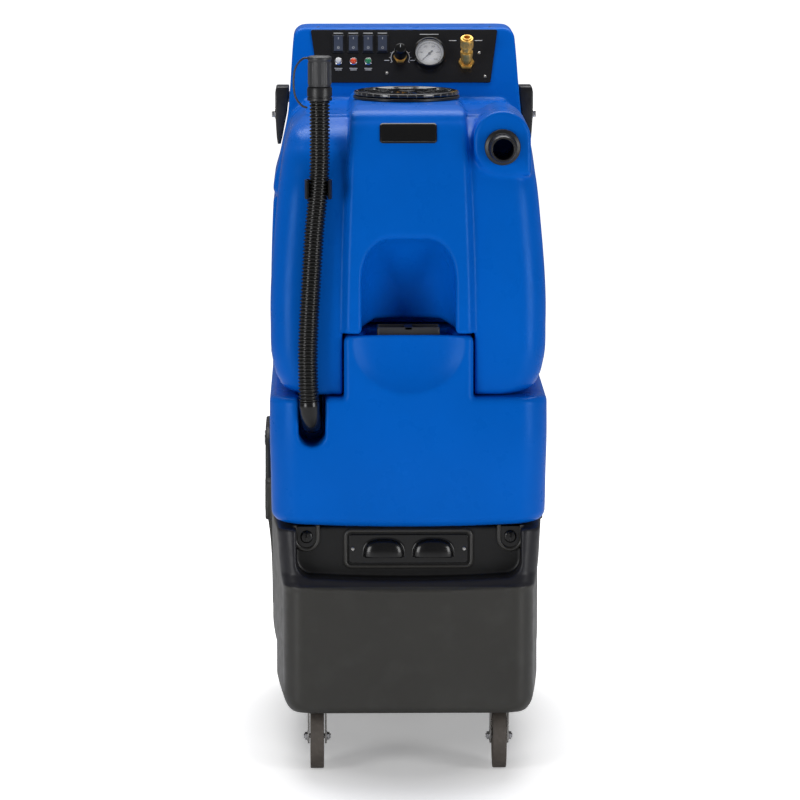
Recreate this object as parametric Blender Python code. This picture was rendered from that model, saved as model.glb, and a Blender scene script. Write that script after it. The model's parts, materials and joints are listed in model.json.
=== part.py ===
"""Upright box extractor for carpets: a dark base on casters and rear wheels, with a
blue solution tank, a blue recovery tank that carries the control tower, and their fittings.

Metres, +Z up, front towards -Y, origin on the floor under the middle of the machine.
"""
import math

import bmesh
import bpy
from mathutils import Matrix, Vector

GAP = 0.0004
WALL = 0.007

# Base
BASE_BOTTOM = 0.101
BASE_TOP = 0.385
BASE_FRONT = -0.380
BASE_REAR = 0.330
BASE_HALF = 0.212
LEDGE_EDGE = 0.291
LEDGE_INNER = 0.307
RECESS_HALF = 0.172
RECESS_FACE = -0.328
DECK_FRONT = 0.250
CATCH_X = 0.1565
CATCH_Z = 0.369
CATCH_STEM = 0.0045
PAN_BOTTOM = 0.1385
PAN_THICK = 0.003
PAN_TOP = PAN_BOTTOM + PAN_THICK

# Running gear
WHEEL_RADIUS = 0.127
WHEEL_INNER = 0.155
WHEEL_OUTER = 0.203
AXLE_Y = 0.250
AXLE_RADIUS = 0.0095
CASTER_RADIUS = 0.050
CASTER_X = 0.141
CASTER_PIVOT_Y = -0.325
CASTER_TRAIL = 0.028
CASTER_HALF_THICK = 0.0105
# A wheel of 24 facets stands on a flat one that is tangent to the true tread circle
FLAT_FACET = 1 / math.cos(math.pi / 24)

# Hinge on which both tanks tip back
HINGE_Y = 0.270
HINGE_Z = 0.430
HINGE_RADIUS = 0.008
EAR_ROOT = 0.2035
EAR_INNER = 0.2155
EAR_OUTER = 0.226

# Tanks
TANK_BOTTOM = 0.387
SHOULDER_TOP = 0.589
TONGUE_TOP = 0.683
TONGUE_HALF = 0.0985
COLUMN_FRONT = 0.060
COLUMN_TOP = 0.856
TANK_REAR = 0.285
LEG_BOTTOM = 0.591
RIDGE_BOTTOM = 0.6865
RIDGE_TOP = 1.027
RECOVERY_REAR = 0.0585
TOWER_REAR = 0.240
TOWER_TOP = 1.1205
LID_Y = -0.130
LID_HOLE = 0.070

# Sloping face that carries the control panel
PANEL_LEAN = math.radians(28)
PANEL_FOOT = Vector((0, 0.066, 1.034))
PANEL_UP = Vector((0, math.sin(PANEL_LEAN), math.cos(PANEL_LEAN)))
PANEL_OUT = Vector((0, -math.cos(PANEL_LEAN), math.sin(PANEL_LEAN)))
PANEL_THICK = 0.002
PANEL_SKIN = GAP + PANEL_THICK

# Vacuum port and drain hose
PORT = Vector((0.143, -0.322, 0.968))
HOSE_RADIUS = 0.0155
DRAIN_X = -0.1475
CLIP_Z = 0.907


# ---------------------------------------------------------------- tools

def clear_scene():
    for item in list(bpy.data.objects):
        bpy.data.objects.remove(item, do_unlink=True)


def material(name, colour, roughness, metallic=0.0):
    made = bpy.data.materials.new(name)
    made.use_nodes = True
    shader = made.node_tree.nodes["Principled BSDF"]
    shader.inputs["Base Color"].default_value = (*colour, 1.0)
    shader.inputs["Roughness"].default_value = roughness
    shader.inputs["Metallic"].default_value = metallic
    return made


def empty(name, place):
    made = bpy.data.objects.new(name, None)
    made.location = place
    bpy.context.collection.objects.link(made)
    return made


def node(name, mesh_builder, finish, origin=(0, 0, 0), parent=None):
    """One named solid, its mesh moved so that the object's origin sits at `origin`."""
    origin = Vector(origin)
    bmesh.ops.recalc_face_normals(mesh_builder, faces=mesh_builder.faces)
    bmesh.ops.translate(mesh_builder, verts=mesh_builder.verts, vec=-origin)
    mesh = bpy.data.meshes.new(name)
    mesh_builder.to_mesh(mesh)
    mesh_builder.free()
    mesh.shade_smooth()
    mesh.set_sharp_from_angle(angle=math.radians(35))
    made = bpy.data.objects.new(name, mesh)
    made.location = origin
    if parent is not None:
        made.parent = parent
        made.location = origin - parent.location
    if finish is not None:
        mesh.materials.append(finish)
    bpy.context.collection.objects.link(made)
    return made


def combine(target, name, mesh_builder, operation):
    """Cut or join a hidden guide shape with a Boolean modifier on the target."""
    tool = node(name, mesh_builder, None)
    tool.hide_render = True
    tool.display_type = "WIRE"
    change = target.modifiers.new(name, "BOOLEAN")
    change.object = tool
    change.operation = operation
    change.solver = "EXACT"


def cut(target, name, mesh_builder):
    combine(target, name, mesh_builder, "DIFFERENCE")


def join(target, name, mesh_builder):
    combine(target, name, mesh_builder, "UNION")


def rounded_outline(corners, steps=4):
    """Closed outline through the corners (x, y, radius), each turned with an arc."""
    outline = []
    for index, (x, y, radius) in enumerate(corners):
        here = Vector((x, y))
        if radius <= 0:
            outline.append((x, y))
            continue
        before = (Vector(corners[index - 1][:2]) - here).normalized()
        after = (Vector(corners[(index + 1) % len(corners)][:2]) - here).normalized()
        half = before.angle(after) / 2
        centre = here + (before + after).normalized() * radius / math.sin(half)
        start = here + before * radius / math.tan(half) - centre
        end = here + after * radius / math.tan(half) - centre
        first = math.atan2(start.y, start.x)
        turn = math.atan2(end.y, end.x) - first
        turn = (turn + math.pi) % (2 * math.pi) - math.pi
        for step in range(steps + 1):
            angle = first + turn * step / steps
            outline.append((centre.x + radius * math.cos(angle), centre.y + radius * math.sin(angle)))
    return outline


def ring(z, half, front, rear, radius, rear_radius=0.02, steps=3):
    """Plan section at height z: a rectangle with rounded corners."""
    corners = [
        (-half, front, radius),
        (half, front, radius),
        (half, rear, rear_radius),
        (-half, rear, rear_radius),
    ]
    return [(x, y, z) for x, y in rounded_outline(corners, steps)]


def box_outline(low_x, high_x, low_y, high_y, radius=0.0, steps=3):
    """Rectangle in two axes, with all four corners turned with the same radius."""
    spots = ((low_x, low_y), (high_x, low_y), (high_x, high_y), (low_x, high_y))
    return rounded_outline([(x, y, radius) for x, y in spots], steps)


def add_loft(mesh_builder, rings):
    """Skin over rings that have the same number of points, closed at both ends."""
    loops = [[mesh_builder.verts.new(point) for point in points] for points in rings]
    count = len(loops[0])
    for low, high in zip(loops, loops[1:]):
        for index in range(count):
            follow = (index + 1) % count
            mesh_builder.faces.new((low[index], low[follow], high[follow], high[index]))
    mesh_builder.faces.new(loops[0][::-1])
    mesh_builder.faces.new(loops[-1])


def add_prism(mesh_builder, outline, axis, low, high):
    """Outline pushed along one axis; it holds (y, z), (x, z) or (x, y) for X, Y or Z."""
    def place(point, depth):
        across, along = point
        return {"X": (depth, across, along), "Y": (across, depth, along), "Z": (across, along, depth)}[axis]
    add_loft(mesh_builder, [[place(point, depth) for point in outline] for depth in (low, high)])


def add_block(mesh_builder, x_range, y_range, z_range):
    add_prism(mesh_builder, box_outline(*x_range, *y_range), "Z", *z_range)


def add_turned(mesh_builder, profile, place, direction, segments=24, closed=False):
    """Solid of revolution about `direction` through `place`, from (radius, height) points.

    A closed profile makes a ring with a bore; an open one starts and ends on the axis.
    """
    turn = Vector((0, 0, 1)).rotation_difference(Vector(direction)).to_matrix()
    base = Vector(place)
    loops = []
    for radius, height in profile:
        if radius < 1e-6:
            loops.append([mesh_builder.verts.new(base + turn @ Vector((0, 0, height)))])
            continue
        loop = []
        for index in range(segments):
            angle = 2 * math.pi * (index + 0.5) / segments
            spot = Vector((radius * math.cos(angle), radius * math.sin(angle), height))
            loop.append(mesh_builder.verts.new(base + turn @ spot))
        loops.append(loop)
    pairs = list(zip(loops, loops[1:]))
    if closed:
        pairs.append((loops[-1], loops[0]))
    for low, high in pairs:
        for index in range(segments):
            follow = (index + 1) % segments
            corners = [low[index % len(low)], low[follow % len(low)]]
            corners += [high[follow % len(high)], high[index % len(high)]]
            mesh_builder.faces.new(list(dict.fromkeys(corners)))


def add_rod(mesh_builder, radius, low, high, place, direction, segments=24):
    add_turned(mesh_builder, [(0, low), (radius, low), (radius, high), (0, high)], place, direction, segments)


def add_pipe(mesh_builder, outer, inner, low, high, place, direction, segments=24):
    profile = [(inner, low), (outer, low), (outer, high), (inner, high)]
    add_turned(mesh_builder, profile, place, direction, segments, closed=True)


def smooth_route(points, count):
    """Evenly spread points on a smooth curve through the given ones."""
    spots = [Vector(point) for point in points]
    ends = [2 * spots[0] - spots[1]] + spots + [2 * spots[-1] - spots[-2]]
    fine = []
    for before, start, end, after in zip(ends, ends[1:], ends[2:], ends[3:]):
        for step in range(20):
            t = step / 20
            curve = 2 * start + (end - before) * t
            curve += (2 * before - 5 * start + 4 * end - after) * t * t
            curve += (3 * start - 3 * end + after - before) * t * t * t
            fine.append(curve / 2)
    fine.append(spots[-1])
    lengths = [0.0]
    for first, second in zip(fine, fine[1:]):
        lengths.append(lengths[-1] + (second - first).length)
    route = []
    index = 0
    for step in range(count):
        wanted = lengths[-1] * step / (count - 1)
        while index < len(fine) - 2 and lengths[index + 1] < wanted:
            index += 1
        share = (wanted - lengths[index]) / (lengths[index + 1] - lengths[index])
        route.append(fine[index].lerp(fine[index + 1], min(max(share, 0.0), 1.0)))
    return route


def add_bent_rod(mesh_builder, points, count, radius, segments, across):
    """Solid round rod along a smooth route that stays nearly square to `across`."""
    route = smooth_route(points, count)
    across = Vector(across)
    rings = []
    for index, spot in enumerate(route):
        along = (route[min(index + 1, count - 1)] - route[max(index - 1, 0)]).normalized()
        first = (across - along * across.dot(along)).normalized()
        second = along.cross(first)
        angles = [2 * math.pi * step / segments for step in range(segments)]
        rings.append([spot + (first * math.cos(a) + second * math.sin(a)) * radius for a in angles])
    add_loft(mesh_builder, rings)


def tube(name, points, radius, count, finish, parent, sides=2):
    """Round tube along a smooth route, with filled ends."""
    curve = bpy.data.curves.new(name, "CURVE")
    curve.dimensions = "3D"
    curve.bevel_depth = radius
    curve.bevel_resolution = sides
    curve.use_fill_caps = True
    spline = curve.splines.new("POLY")
    route = smooth_route(points, count)
    spline.points.add(len(route) - 1)
    for spot, place in zip(spline.points, route):
        spot.co = (*(place - parent.location), 1.0)
    curve.materials.append(finish)
    made = bpy.data.objects.new(name, curve)
    made.parent = parent
    bpy.context.collection.objects.link(made)
    return made


def on_panel(x, up, out):
    """World place from a position across, up and out from the panel's foot."""
    return PANEL_FOOT + Vector((x, 0, 0)) + PANEL_UP * up + PANEL_OUT * out


def add_panel_block(mesh_builder, x_range, up_range, out_range, tilt=0.0, pivot=None):
    """Block square to the panel, turned by `tilt` about the X line through `pivot`."""
    outline = box_outline(*x_range, *up_range)
    spots = [[on_panel(x, up, out) for x, up in outline] for out in out_range]
    if tilt:
        turn = Matrix.Rotation(tilt, 3, "X")
        spots = [[pivot + turn @ (spot - pivot) for spot in loop] for loop in spots]
    add_loft(mesh_builder, spots)


# ---------------------------------------------------------------- base

def base_ring(z, inset, front, flare=0.0):
    """Plan section of the base: narrower across the front, straight along the sides."""
    half = BASE_HALF - inset
    corners = [
        (-(0.187 + flare - inset), front, 0.030),
        (0.187 + flare - inset, front, 0.030),
        (half, -0.190, 0.080),
        (half, BASE_REAR - inset, 0.035),
        (-half, BASE_REAR - inset, 0.035),
        (-half, -0.190, 0.080),
    ]
    return [(x, y, z) for x, y in rounded_outline(corners, 3)]


def join_base_ears(housing):
    """Upright ears at the rear sides that carry the tank hinge pins, and their roots."""
    corners = [(0.110, 0.330, 0.02), (0.318, 0.330, 0.02), (0.308, 0.466, 0.035), (0.150, 0.466, 0.045)]
    outline = rounded_outline(corners, 5)
    root_outline = [(0.112, 0.332), (0.312, 0.332), (0.312, 0.3840), (0.118, 0.3840)]
    ears = bmesh.new()
    roots = bmesh.new()
    for side in (-1, 1):
        add_prism(ears, outline, "X", *sorted((side * EAR_INNER, side * EAR_OUTER)))
        add_prism(roots, root_outline, "X", *sorted((side * EAR_ROOT, side * (EAR_OUTER - 0.001))))
    join(housing, "base_ears", ears)
    join(housing, "base_ear_roots", roots)


def build_base_housing(finish, parent):
    shell = bmesh.new()
    add_loft(shell, [
        base_ring(BASE_BOTTOM, 0.020, BASE_FRONT + 0.016),
        base_ring(0.106, 0.008, BASE_FRONT + 0.006),
        base_ring(0.118, 0.002, BASE_FRONT + 0.001),
        base_ring(0.150, 0.000, BASE_FRONT),
        base_ring(LEDGE_EDGE - 0.006, 0.000, BASE_FRONT),
        base_ring(LEDGE_EDGE, 0.001, BASE_FRONT + 0.004),
        base_ring(LEDGE_INNER, 0.001, BASE_FRONT + 0.014, 0.006),
        base_ring(BASE_TOP, 0.003, BASE_FRONT + 0.022, 0.016),
    ])
    housing = node("base_housing", shell, finish, parent=parent)
    join_base_ears(housing)
    lower = bmesh.new()
    add_loft(lower, [base_ring(z, WALL, BASE_FRONT + WALL) for z in (0.08, LEDGE_EDGE - 0.010)])
    cut(housing, "base_lower_cavity", lower)
    upper = bmesh.new()
    levels = (LEDGE_EDGE - 0.012, BASE_TOP - 0.008)
    add_loft(upper, [base_ring(z, WALL + 0.003, RECESS_FACE + 0.006) for z in levels])
    cut(housing, "base_upper_cavity", upper)
    top = bmesh.new()
    levels = (BASE_TOP - 0.009, BASE_TOP + 0.1)
    add_loft(top, [ring(z, 0.180, RECESS_FACE + 0.006, DECK_FRONT, 0.02) for z in levels])
    cut(housing, "base_top_opening", top)
    recess = bmesh.new()
    corners = [
        (-RECESS_HALF, LEDGE_INNER, 0.015),
        (RECESS_HALF, LEDGE_INNER, 0.015),
        (RECESS_HALF, 0.42, 0),
        (-RECESS_HALF, 0.42, 0),
    ]
    add_prism(recess, rounded_outline(corners, 4), "Y", -0.42, RECESS_FACE)
    cut(housing, "base_front_recess", recess)
    wells = bmesh.new()
    pins = bmesh.new()
    for side in (-1, 1):
        place = (side * 0.19, AXLE_Y, WHEEL_RADIUS)
        add_rod(wells, WHEEL_RADIUS + 0.012, -0.045, 0.045, place, (1, 0, 0), 32)
        add_rod(pins, HINGE_RADIUS + GAP, -0.02, 0.02, (side * EAR_OUTER, HINGE_Y, HINGE_Z), (1, 0, 0), 16)
    cut(housing, "base_wheel_wells", wells)
    cut(housing, "base_pin_holes", pins)
    studs = bmesh.new()
    for side in (-1, 1):
        place = (side * CATCH_X, RECESS_FACE, CATCH_Z)
        add_rod(studs, CATCH_STEM + GAP, -0.02, 0.02, place, (0, 1, 0), 12)
    cut(housing, "base_stud_holes", studs)


def build_base_pan(finish, parent):
    pan = bmesh.new()
    reach = BASE_HALF - WALL - 0.002
    well_front = 0.098
    right = [
        (0.176, BASE_FRONT + 0.010, 0.02),
        (reach, -0.190, 0.03),
        (reach, well_front, 0.01),
        (0.147, well_front, 0.005),
        (0.147, 0.315, 0.01),
    ]
    left = [(-x, y, radius) for x, y, radius in reversed(right)]
    add_prism(pan, rounded_outline(right + left, 3), "Z", PAN_BOTTOM, PAN_TOP)
    made = node("base_pan", pan, finish, parent=parent)
    brackets = bmesh.new()
    top = PAN_BOTTOM + PAN_THICK / 2
    for side in (-1, 1):
        corners = [
            (AXLE_Y - 0.024, top, 0),
            (AXLE_Y - 0.018, 0.108, 0.006),
            (AXLE_Y + 0.018, 0.108, 0.006),
            (AXLE_Y + 0.024, top, 0),
        ]
        add_prism(brackets, rounded_outline(corners, 3), "X", side * 0.137 - 0.008, side * 0.137 + 0.008)
    join(made, "axle_brackets", brackets)
    bore = bmesh.new()
    add_rod(bore, AXLE_RADIUS + GAP, -0.16, 0.16, (0, AXLE_Y, WHEEL_RADIUS), (1, 0, 0), 16)
    cut(made, "axle_bore", bore)


def build_vent_plate(dark, parent):
    """Cover over the motor air outlet, with two hoods that open downwards."""
    plate = bmesh.new()
    outline = box_outline(-0.091, 0.091, 0.328, 0.373, 0.005)
    add_prism(plate, outline, "Y", RECESS_FACE - GAP - 0.003, RECESS_FACE - GAP)
    vent = node("vent_plate", plate, dark, parent=parent)
    hoods = bmesh.new()
    face = RECESS_FACE - GAP - 0.0020
    foot = 0.341
    for middle in (-0.038, 0.038):
        loops = []
        for depth, spread, rise in ((0, 1.0, 1.0), (0.008, 0.92, 0.90), (0.013, 0.70, 0.72)):
            top = foot + 0.0245 * rise
            corners = [
                (-0.031 * spread, foot, 0.003),
                (0.031 * spread, foot, 0.003),
                (0.026 * spread, top, 0.008),
                (-0.026 * spread, top, 0.008),
            ]
            loops.append([(middle + x, face - depth, z) for x, z in rounded_outline(corners, 3)])
        add_loft(hoods, loops)
    join(vent, "vent_hoods", hoods)


def build_catch(side, name, dark, parent):
    """Quarter-turn stud with a wing, which holds the tanks down on the base."""
    stud = bmesh.new()
    place = Vector((side * CATCH_X, RECESS_FACE, CATCH_Z))
    profile = [(0, -0.014), (CATCH_STEM, -0.014), (CATCH_STEM, GAP), (0.0095, GAP),
               (0.0095, 0.004), (0.0075, 0.006), (0, 0.006)]
    add_turned(stud, profile, place, (0, -1, 0), 16)
    catch = node("catch_%s" % name, stud, dark, origin=place, parent=parent)
    wing = bmesh.new()
    across = (place.x - 0.0018, place.x + 0.0018)
    add_block(wing, across, (RECESS_FACE - 0.0115, RECESS_FACE - 0.0050), (CATCH_Z - 0.007, CATCH_Z + 0.007))
    join(catch, "catch_wing_%s" % name, wing)


# ---------------------------------------------------------------- running gear

def build_caster(side, name, zinc, rubber, parent):
    x = side * CASTER_X
    pivot = Vector((x, CASTER_PIVOT_Y, 0.120))
    axle = Vector((x, CASTER_PIVOT_Y + CASTER_TRAIL, CASTER_RADIUS))
    plate = bmesh.new()
    outline = box_outline(x - 0.030, x + 0.030, pivot.y - 0.037, pivot.y + 0.040, 0.006, 2)
    add_prism(plate, outline, "Z", PAN_BOTTOM - GAP - 0.003, PAN_BOTTOM - GAP)
    node("caster_plate_%s" % name, plate, zinc, parent=parent)

    swivel = empty("caster_pivot_%s" % name, pivot)
    fork = bmesh.new()
    crown = PAN_BOTTOM - 2 * GAP - 0.003 - pivot.z
    profile = [(0, -0.003), (0.024, -0.003), (0.024, 0.002), (0.021, crown), (0, crown)]
    add_turned(fork, profile, pivot, (0, 0, 1), 16)
    head = node("caster_fork_%s" % name, fork, zinc, origin=pivot, parent=swivel)
    legs = bmesh.new()
    corners = [
        (pivot.y - 0.018, pivot.z - 0.001, 0),
        (pivot.y + 0.022, pivot.z - 0.001, 0),
        (axle.y + 0.011, axle.z - 0.011, 0.009),
        (axle.y - 0.011, axle.z - 0.011, 0.009),
    ]
    near = CASTER_HALF_THICK + 0.0015
    reach = CASTER_HALF_THICK + 0.0042
    for edge in (-1, 1):
        add_prism(legs, rounded_outline(corners, 3), "X", *sorted((x + edge * near, x + edge * reach)))
    join(head, "caster_legs_%s" % name, legs)
    rivet = bmesh.new()
    inside = reach - 0.0005
    outside = reach + 0.003
    profile = [(0, -outside), (0.0062, -outside), (0.0062, -inside), (0.0039, -inside),
               (0.0039, inside), (0.0062, inside), (0.0062, outside), (0, outside)]
    add_turned(rivet, profile, axle, (1, 0, 0), 12)
    join(head, "caster_axle_%s" % name, rivet)

    wheel = bmesh.new()
    half = CASTER_HALF_THICK
    tread = CASTER_RADIUS * FLAT_FACET
    profile = [(0.0044, -half), (0.047, -half), (tread, -half + 0.003), (tread, half - 0.003),
               (0.047, half), (0.0044, half)]
    add_turned(wheel, profile, axle, (1, 0, 0), 24, closed=True)
    node("caster_wheel_%s" % name, wheel, rubber, origin=axle, parent=swivel)


def build_rear_wheel(side, name, hub_finish, rubber, parent):
    centre = Vector((side * (WHEEL_INNER + WHEEL_OUTER) / 2, AXLE_Y, WHEEL_RADIUS))
    half = (WHEEL_OUTER - WHEEL_INNER) / 2
    hub = bmesh.new()
    bore = AXLE_RADIUS + 2 * GAP
    outer_side = [(bore, half), (0.024, half), (0.026, half - 0.013), (0.082, half - 0.013),
                  (0.082, half - 0.003), (0.092, half - 0.003)]
    profile = [(radius, -height) for radius, height in outer_side] + outer_side[::-1]
    add_turned(hub, profile, centre, (1, 0, 0), 24, closed=True)
    node("rear_wheel_%s" % name, hub, hub_finish, origin=centre, parent=parent)
    tyre = bmesh.new()
    inner = 0.092 + GAP
    tread = WHEEL_RADIUS * FLAT_FACET
    profile = [(inner, -half + 0.002), (0.118, -half + 0.002), (tread, -half + 0.011),
               (tread, half - 0.011), (0.118, half - 0.002), (inner, half - 0.002)]
    add_turned(tyre, profile, centre, (1, 0, 0), 24, closed=True)
    node("rear_tyre_%s" % name, tyre, rubber, origin=centre, parent=parent)


def build_axle(steel, parent):
    axle = bmesh.new()
    half = WHEEL_OUTER + 0.0035
    profile = [(0, -half - 0.0045), (0.0125, -half - 0.0030), (0.0125, -half), (AXLE_RADIUS, -half),
               (AXLE_RADIUS, half), (0.0125, half), (0.0125, half + 0.0030), (0, half + 0.0045)]
    add_turned(axle, profile, (0, AXLE_Y, WHEEL_RADIUS), (1, 0, 0), 16)
    node("rear_axle", axle, steel, parent=parent)


# ---------------------------------------------------------------- working parts in the base

def build_internals(dark, steel, parent):
    for side, name in ((-1, "left"), (1, "right")):
        motor = bmesh.new()
        profile = [(0, 0), (0.072, 0), (0.072, 0.060), (0.046, 0.068),
                   (0.046, 0.128), (0.030, 0.134), (0, 0.134)]
        add_turned(motor, profile, (side * 0.088, -0.165, PAN_TOP + GAP), (0, 0, 1), 20)
        node("vacuum_motor_%s" % name, motor, steel, parent=parent)
    pump = bmesh.new()
    profile = [(0, -0.095), (0.038, -0.095), (0.038, -0.010), (0.030, -0.004), (0.030, 0.060), (0, 0.060)]
    add_turned(pump, profile, (-0.100, 0.000, PAN_TOP + 0.0405), (1, 0, 0), 16)
    node("solution_pump", pump, dark, parent=parent)
    heater = bmesh.new()
    add_prism(heater, box_outline(0.020, 0.170, -0.047, 0.013, 0.008), "Z", PAN_TOP + GAP, PAN_TOP + 0.105)
    node("inline_heater", heater, steel, parent=parent)
    plate = bmesh.new()
    outline = box_outline(-0.090, 0.090, 0.218, 0.282, 0.008)
    add_prism(plate, outline, "Y", BASE_REAR + GAP, BASE_REAR + GAP + 0.003)
    inlets = node("power_inlets", plate, dark, parent=parent)
    flanges = bmesh.new()
    for x in (-0.045, 0.045):
        profile = [(0.0145, 0.001), (0.0225, 0.001), (0.0225, 0.016), (0.0145, 0.016)]
        add_turned(flanges, profile, (x, BASE_REAR + GAP, 0.250), (0, 1, 0), 16, closed=True)
    join(inlets, "inlet_flanges", flanges)


# ---------------------------------------------------------------- solution tank

def build_solution_tank(finish, parent):
    body = bmesh.new()
    add_loft(body, [
        ring(TANK_BOTTOM, 0.198, -0.336, 0.268, 0.035),
        ring(0.391, 0.2055, -0.347, 0.2785, 0.042),
        ring(0.402, 0.2095, -0.3545, 0.2840, 0.046),
        ring(0.430, 0.2110, -0.3595, TANK_REAR, 0.048),
        ring(0.475, 0.2120, -0.3635, TANK_REAR, 0.048),
        ring(0.510, 0.2150, -0.3650, TANK_REAR, 0.048),
        ring(0.600, 0.2152, -0.3630, TANK_REAR, 0.046),
        ring(TONGUE_TOP - 0.005, 0.2148, -0.3605, TANK_REAR, 0.044),
        ring(TONGUE_TOP, 0.2146, -0.3560, TANK_REAR, 0.042),
    ])
    tank = node("solution_tank", body, finish, parent=parent)
    column = bmesh.new()
    add_loft(column, [
        ring(0.620, 0.2147, COLUMN_FRONT, TANK_REAR - 0.0005, 0.012, 0.0195),
        ring(0.740, 0.2140, COLUMN_FRONT, TANK_REAR - 0.0005, 0.012, 0.0195),
        ring(0.820, 0.2115, COLUMN_FRONT, TANK_REAR - 0.0010, 0.012, 0.0195),
        ring(0.850, 0.2098, COLUMN_FRONT + 0.001, TANK_REAR - 0.003, 0.012, 0.0195),
        ring(COLUMN_TOP, 0.2050, COLUMN_FRONT + 0.006, TANK_REAR - 0.008, 0.012, 0.0195),
    ])
    join(tank, "tank_column", column)
    seats = bmesh.new()
    for side in (-1, 1):
        across = sorted((side * TONGUE_HALF, side * 0.26))
        add_block(seats, across, (-0.42, COLUMN_FRONT), (SHOULDER_TOP, 0.75))
    cut(tank, "tank_leg_seats", seats)
    low = bmesh.new()
    add_loft(low, [ring(z, 0.190, -0.346, 0.272, 0.03) for z in (0.395, 0.505)])
    cut(tank, "tank_low_cavity", low)
    middle = bmesh.new()
    add_block(middle, (-0.207, 0.207), (-0.255, 0.276), (0.504, 0.581))
    cut(tank, "tank_middle_cavity", middle)
    tongue = bmesh.new()
    add_block(tongue, (-0.090, 0.090), (-0.336, 0.070), (0.503, TONGUE_TOP - WALL))
    cut(tank, "tank_tongue_cavity", tongue)
    rear = bmesh.new()
    add_block(rear, (-0.2005, 0.2005), (COLUMN_FRONT + WALL, TANK_REAR - 0.010), (0.575, COLUMN_TOP - WALL))
    cut(tank, "tank_column_cavity", rear)
    mouth = bmesh.new()
    front, rear = (0.072, -0.336), (0.060, -0.262)
    corners = [(-front[0], front[1], 0.012), (*front, 0.012), (*rear, 0.012), (-rear[0], rear[1], 0.012)]
    add_prism(mouth, rounded_outline(corners, 3), "Z", 0.66, 0.70)
    cut(tank, "tank_fill_mouth", mouth)
    scoop = bmesh.new()
    place = Matrix.Translation((0, -0.3780, 0.680)) @ Matrix.Diagonal((0.109, 0.032, 0.098, 1))
    bmesh.ops.create_uvsphere(scoop, u_segments=20, v_segments=12, radius=1.0, matrix=place)
    cut(tank, "tank_hand_scoop", scoop)
    slot = bmesh.new()
    low_x, high_x = DRAIN_X - 0.0205, DRAIN_X + 0.0205
    corners = [(low_x, 0.518, 0.0195), (high_x, 0.518, 0.0195), (high_x, 0.62, 0), (low_x, 0.62, 0)]
    add_prism(slot, rounded_outline(corners, 5), "Y", -0.42, -0.272)
    cut(tank, "tank_hose_slot", slot)
    sockets = bmesh.new()
    for side in (-1, 1):
        add_rod(sockets, HINGE_RADIUS + GAP, 0.196, 0.24, (0, HINGE_Y, HINGE_Z), (side, 0, 0), 16)
    cut(tank, "tank_hinge_sockets", sockets)


def build_hinge_pins(steel, parent):
    for side, name in ((-1, "left"), (1, "right")):
        pin = bmesh.new()
        head = EAR_OUTER + GAP
        end = EAR_OUTER + 0.003
        profile = [(0, 0.1975), (HINGE_RADIUS, 0.1975), (HINGE_RADIUS, head),
                   (0.012, head), (0.012, end), (0, end)]
        add_turned(pin, profile, (0, HINGE_Y, HINGE_Z), (side, 0, 0), 16)
        node("hinge_pin_%s" % name, pin, steel, parent=parent)


# ---------------------------------------------------------------- recovery tank

def tower_front(z):
    """Front of the control tower: the leaning panel face above its foot, upright below it."""
    return PANEL_FOOT.y + max(0, z - PANEL_FOOT.z) * math.tan(PANEL_LEAN)


def tower_ring(z, half, front, inset, radius, rear_radius):
    """Plan section of the tower, whose back leans forward near the top."""
    rear = TOWER_REAR - inset - max(0, z - 1.09) * 0.4
    return ring(z, half, front, rear, radius, rear_radius)


def build_recovery_tank(finish, parent):
    body = bmesh.new()
    sections = [
        (LEG_BOTTOM, 0.176, -0.3320), (0.598, 0.1905, -0.3405), (0.614, 0.2030, -0.3455),
        (0.640, 0.2095, -0.3465), (0.700, 0.2105, -0.3460), (0.850, 0.2030, -0.3340),
        (0.920, 0.1955, -0.3210), (0.965, 0.1870, -0.3010), (0.990, 0.1770, -0.2720),
        (1.006, 0.1600, -0.2300)]
    add_loft(body, [ring(z, half, front, RECOVERY_REAR, 0.042, 0.012) for z, half, front in sections])
    tank = node("recovery_tank", body, finish, parent=parent)
    ridge = bmesh.new()
    sections = [
        (0.660, 0.0995, -0.3585), (0.800, 0.0965, -0.3530), (0.900, 0.0930, -0.3400),
        (0.970, 0.0900, -0.3220), (1.005, 0.0885, -0.3050), (1.020, 0.0865, -0.2860),
        (RIDGE_TOP, 0.0820, -0.2620)]
    add_loft(ridge, [ring(z, half, front, 0.030, 0.016, 0.012) for z, half, front in sections])
    join(tank, "recovery_ridge", ridge)
    join_tower(tank)
    boss = bmesh.new()
    profile = [(0, 0), (0.0440, 0), (0.0440, 0.096), (0.0390, 0.1025), (0, 0.1025)]
    add_turned(boss, profile, (PORT.x, PORT.y + 0.1025, PORT.z), (0, -1, 0), 20)
    join(tank, "recovery_port_boss", boss)
    saddle = bmesh.new()
    saddle_half = TONGUE_HALF + 0.0025
    add_block(saddle, (-saddle_half, saddle_half), (-0.42, 0.10), (0.55, RIDGE_BOTTOM))
    cut(tank, "recovery_saddle", saddle)
    niche = bmesh.new()
    sections = [
        (0.640, 0.0740, -0.256), (0.700, 0.0740, -0.262), (0.750, 0.0735, -0.274), (0.785, 0.0705, -0.288),
        (0.808, 0.0630, -0.302), (0.824, 0.0500, -0.320), (0.833, 0.0320, -0.338)]
    add_loft(niche, [ring(z, half, -0.42, rear, 0.005, 0.030) for z, half, rear in sections])
    cut(tank, "recovery_niche", niche)
    cut_recovery_hollows(tank)


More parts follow.
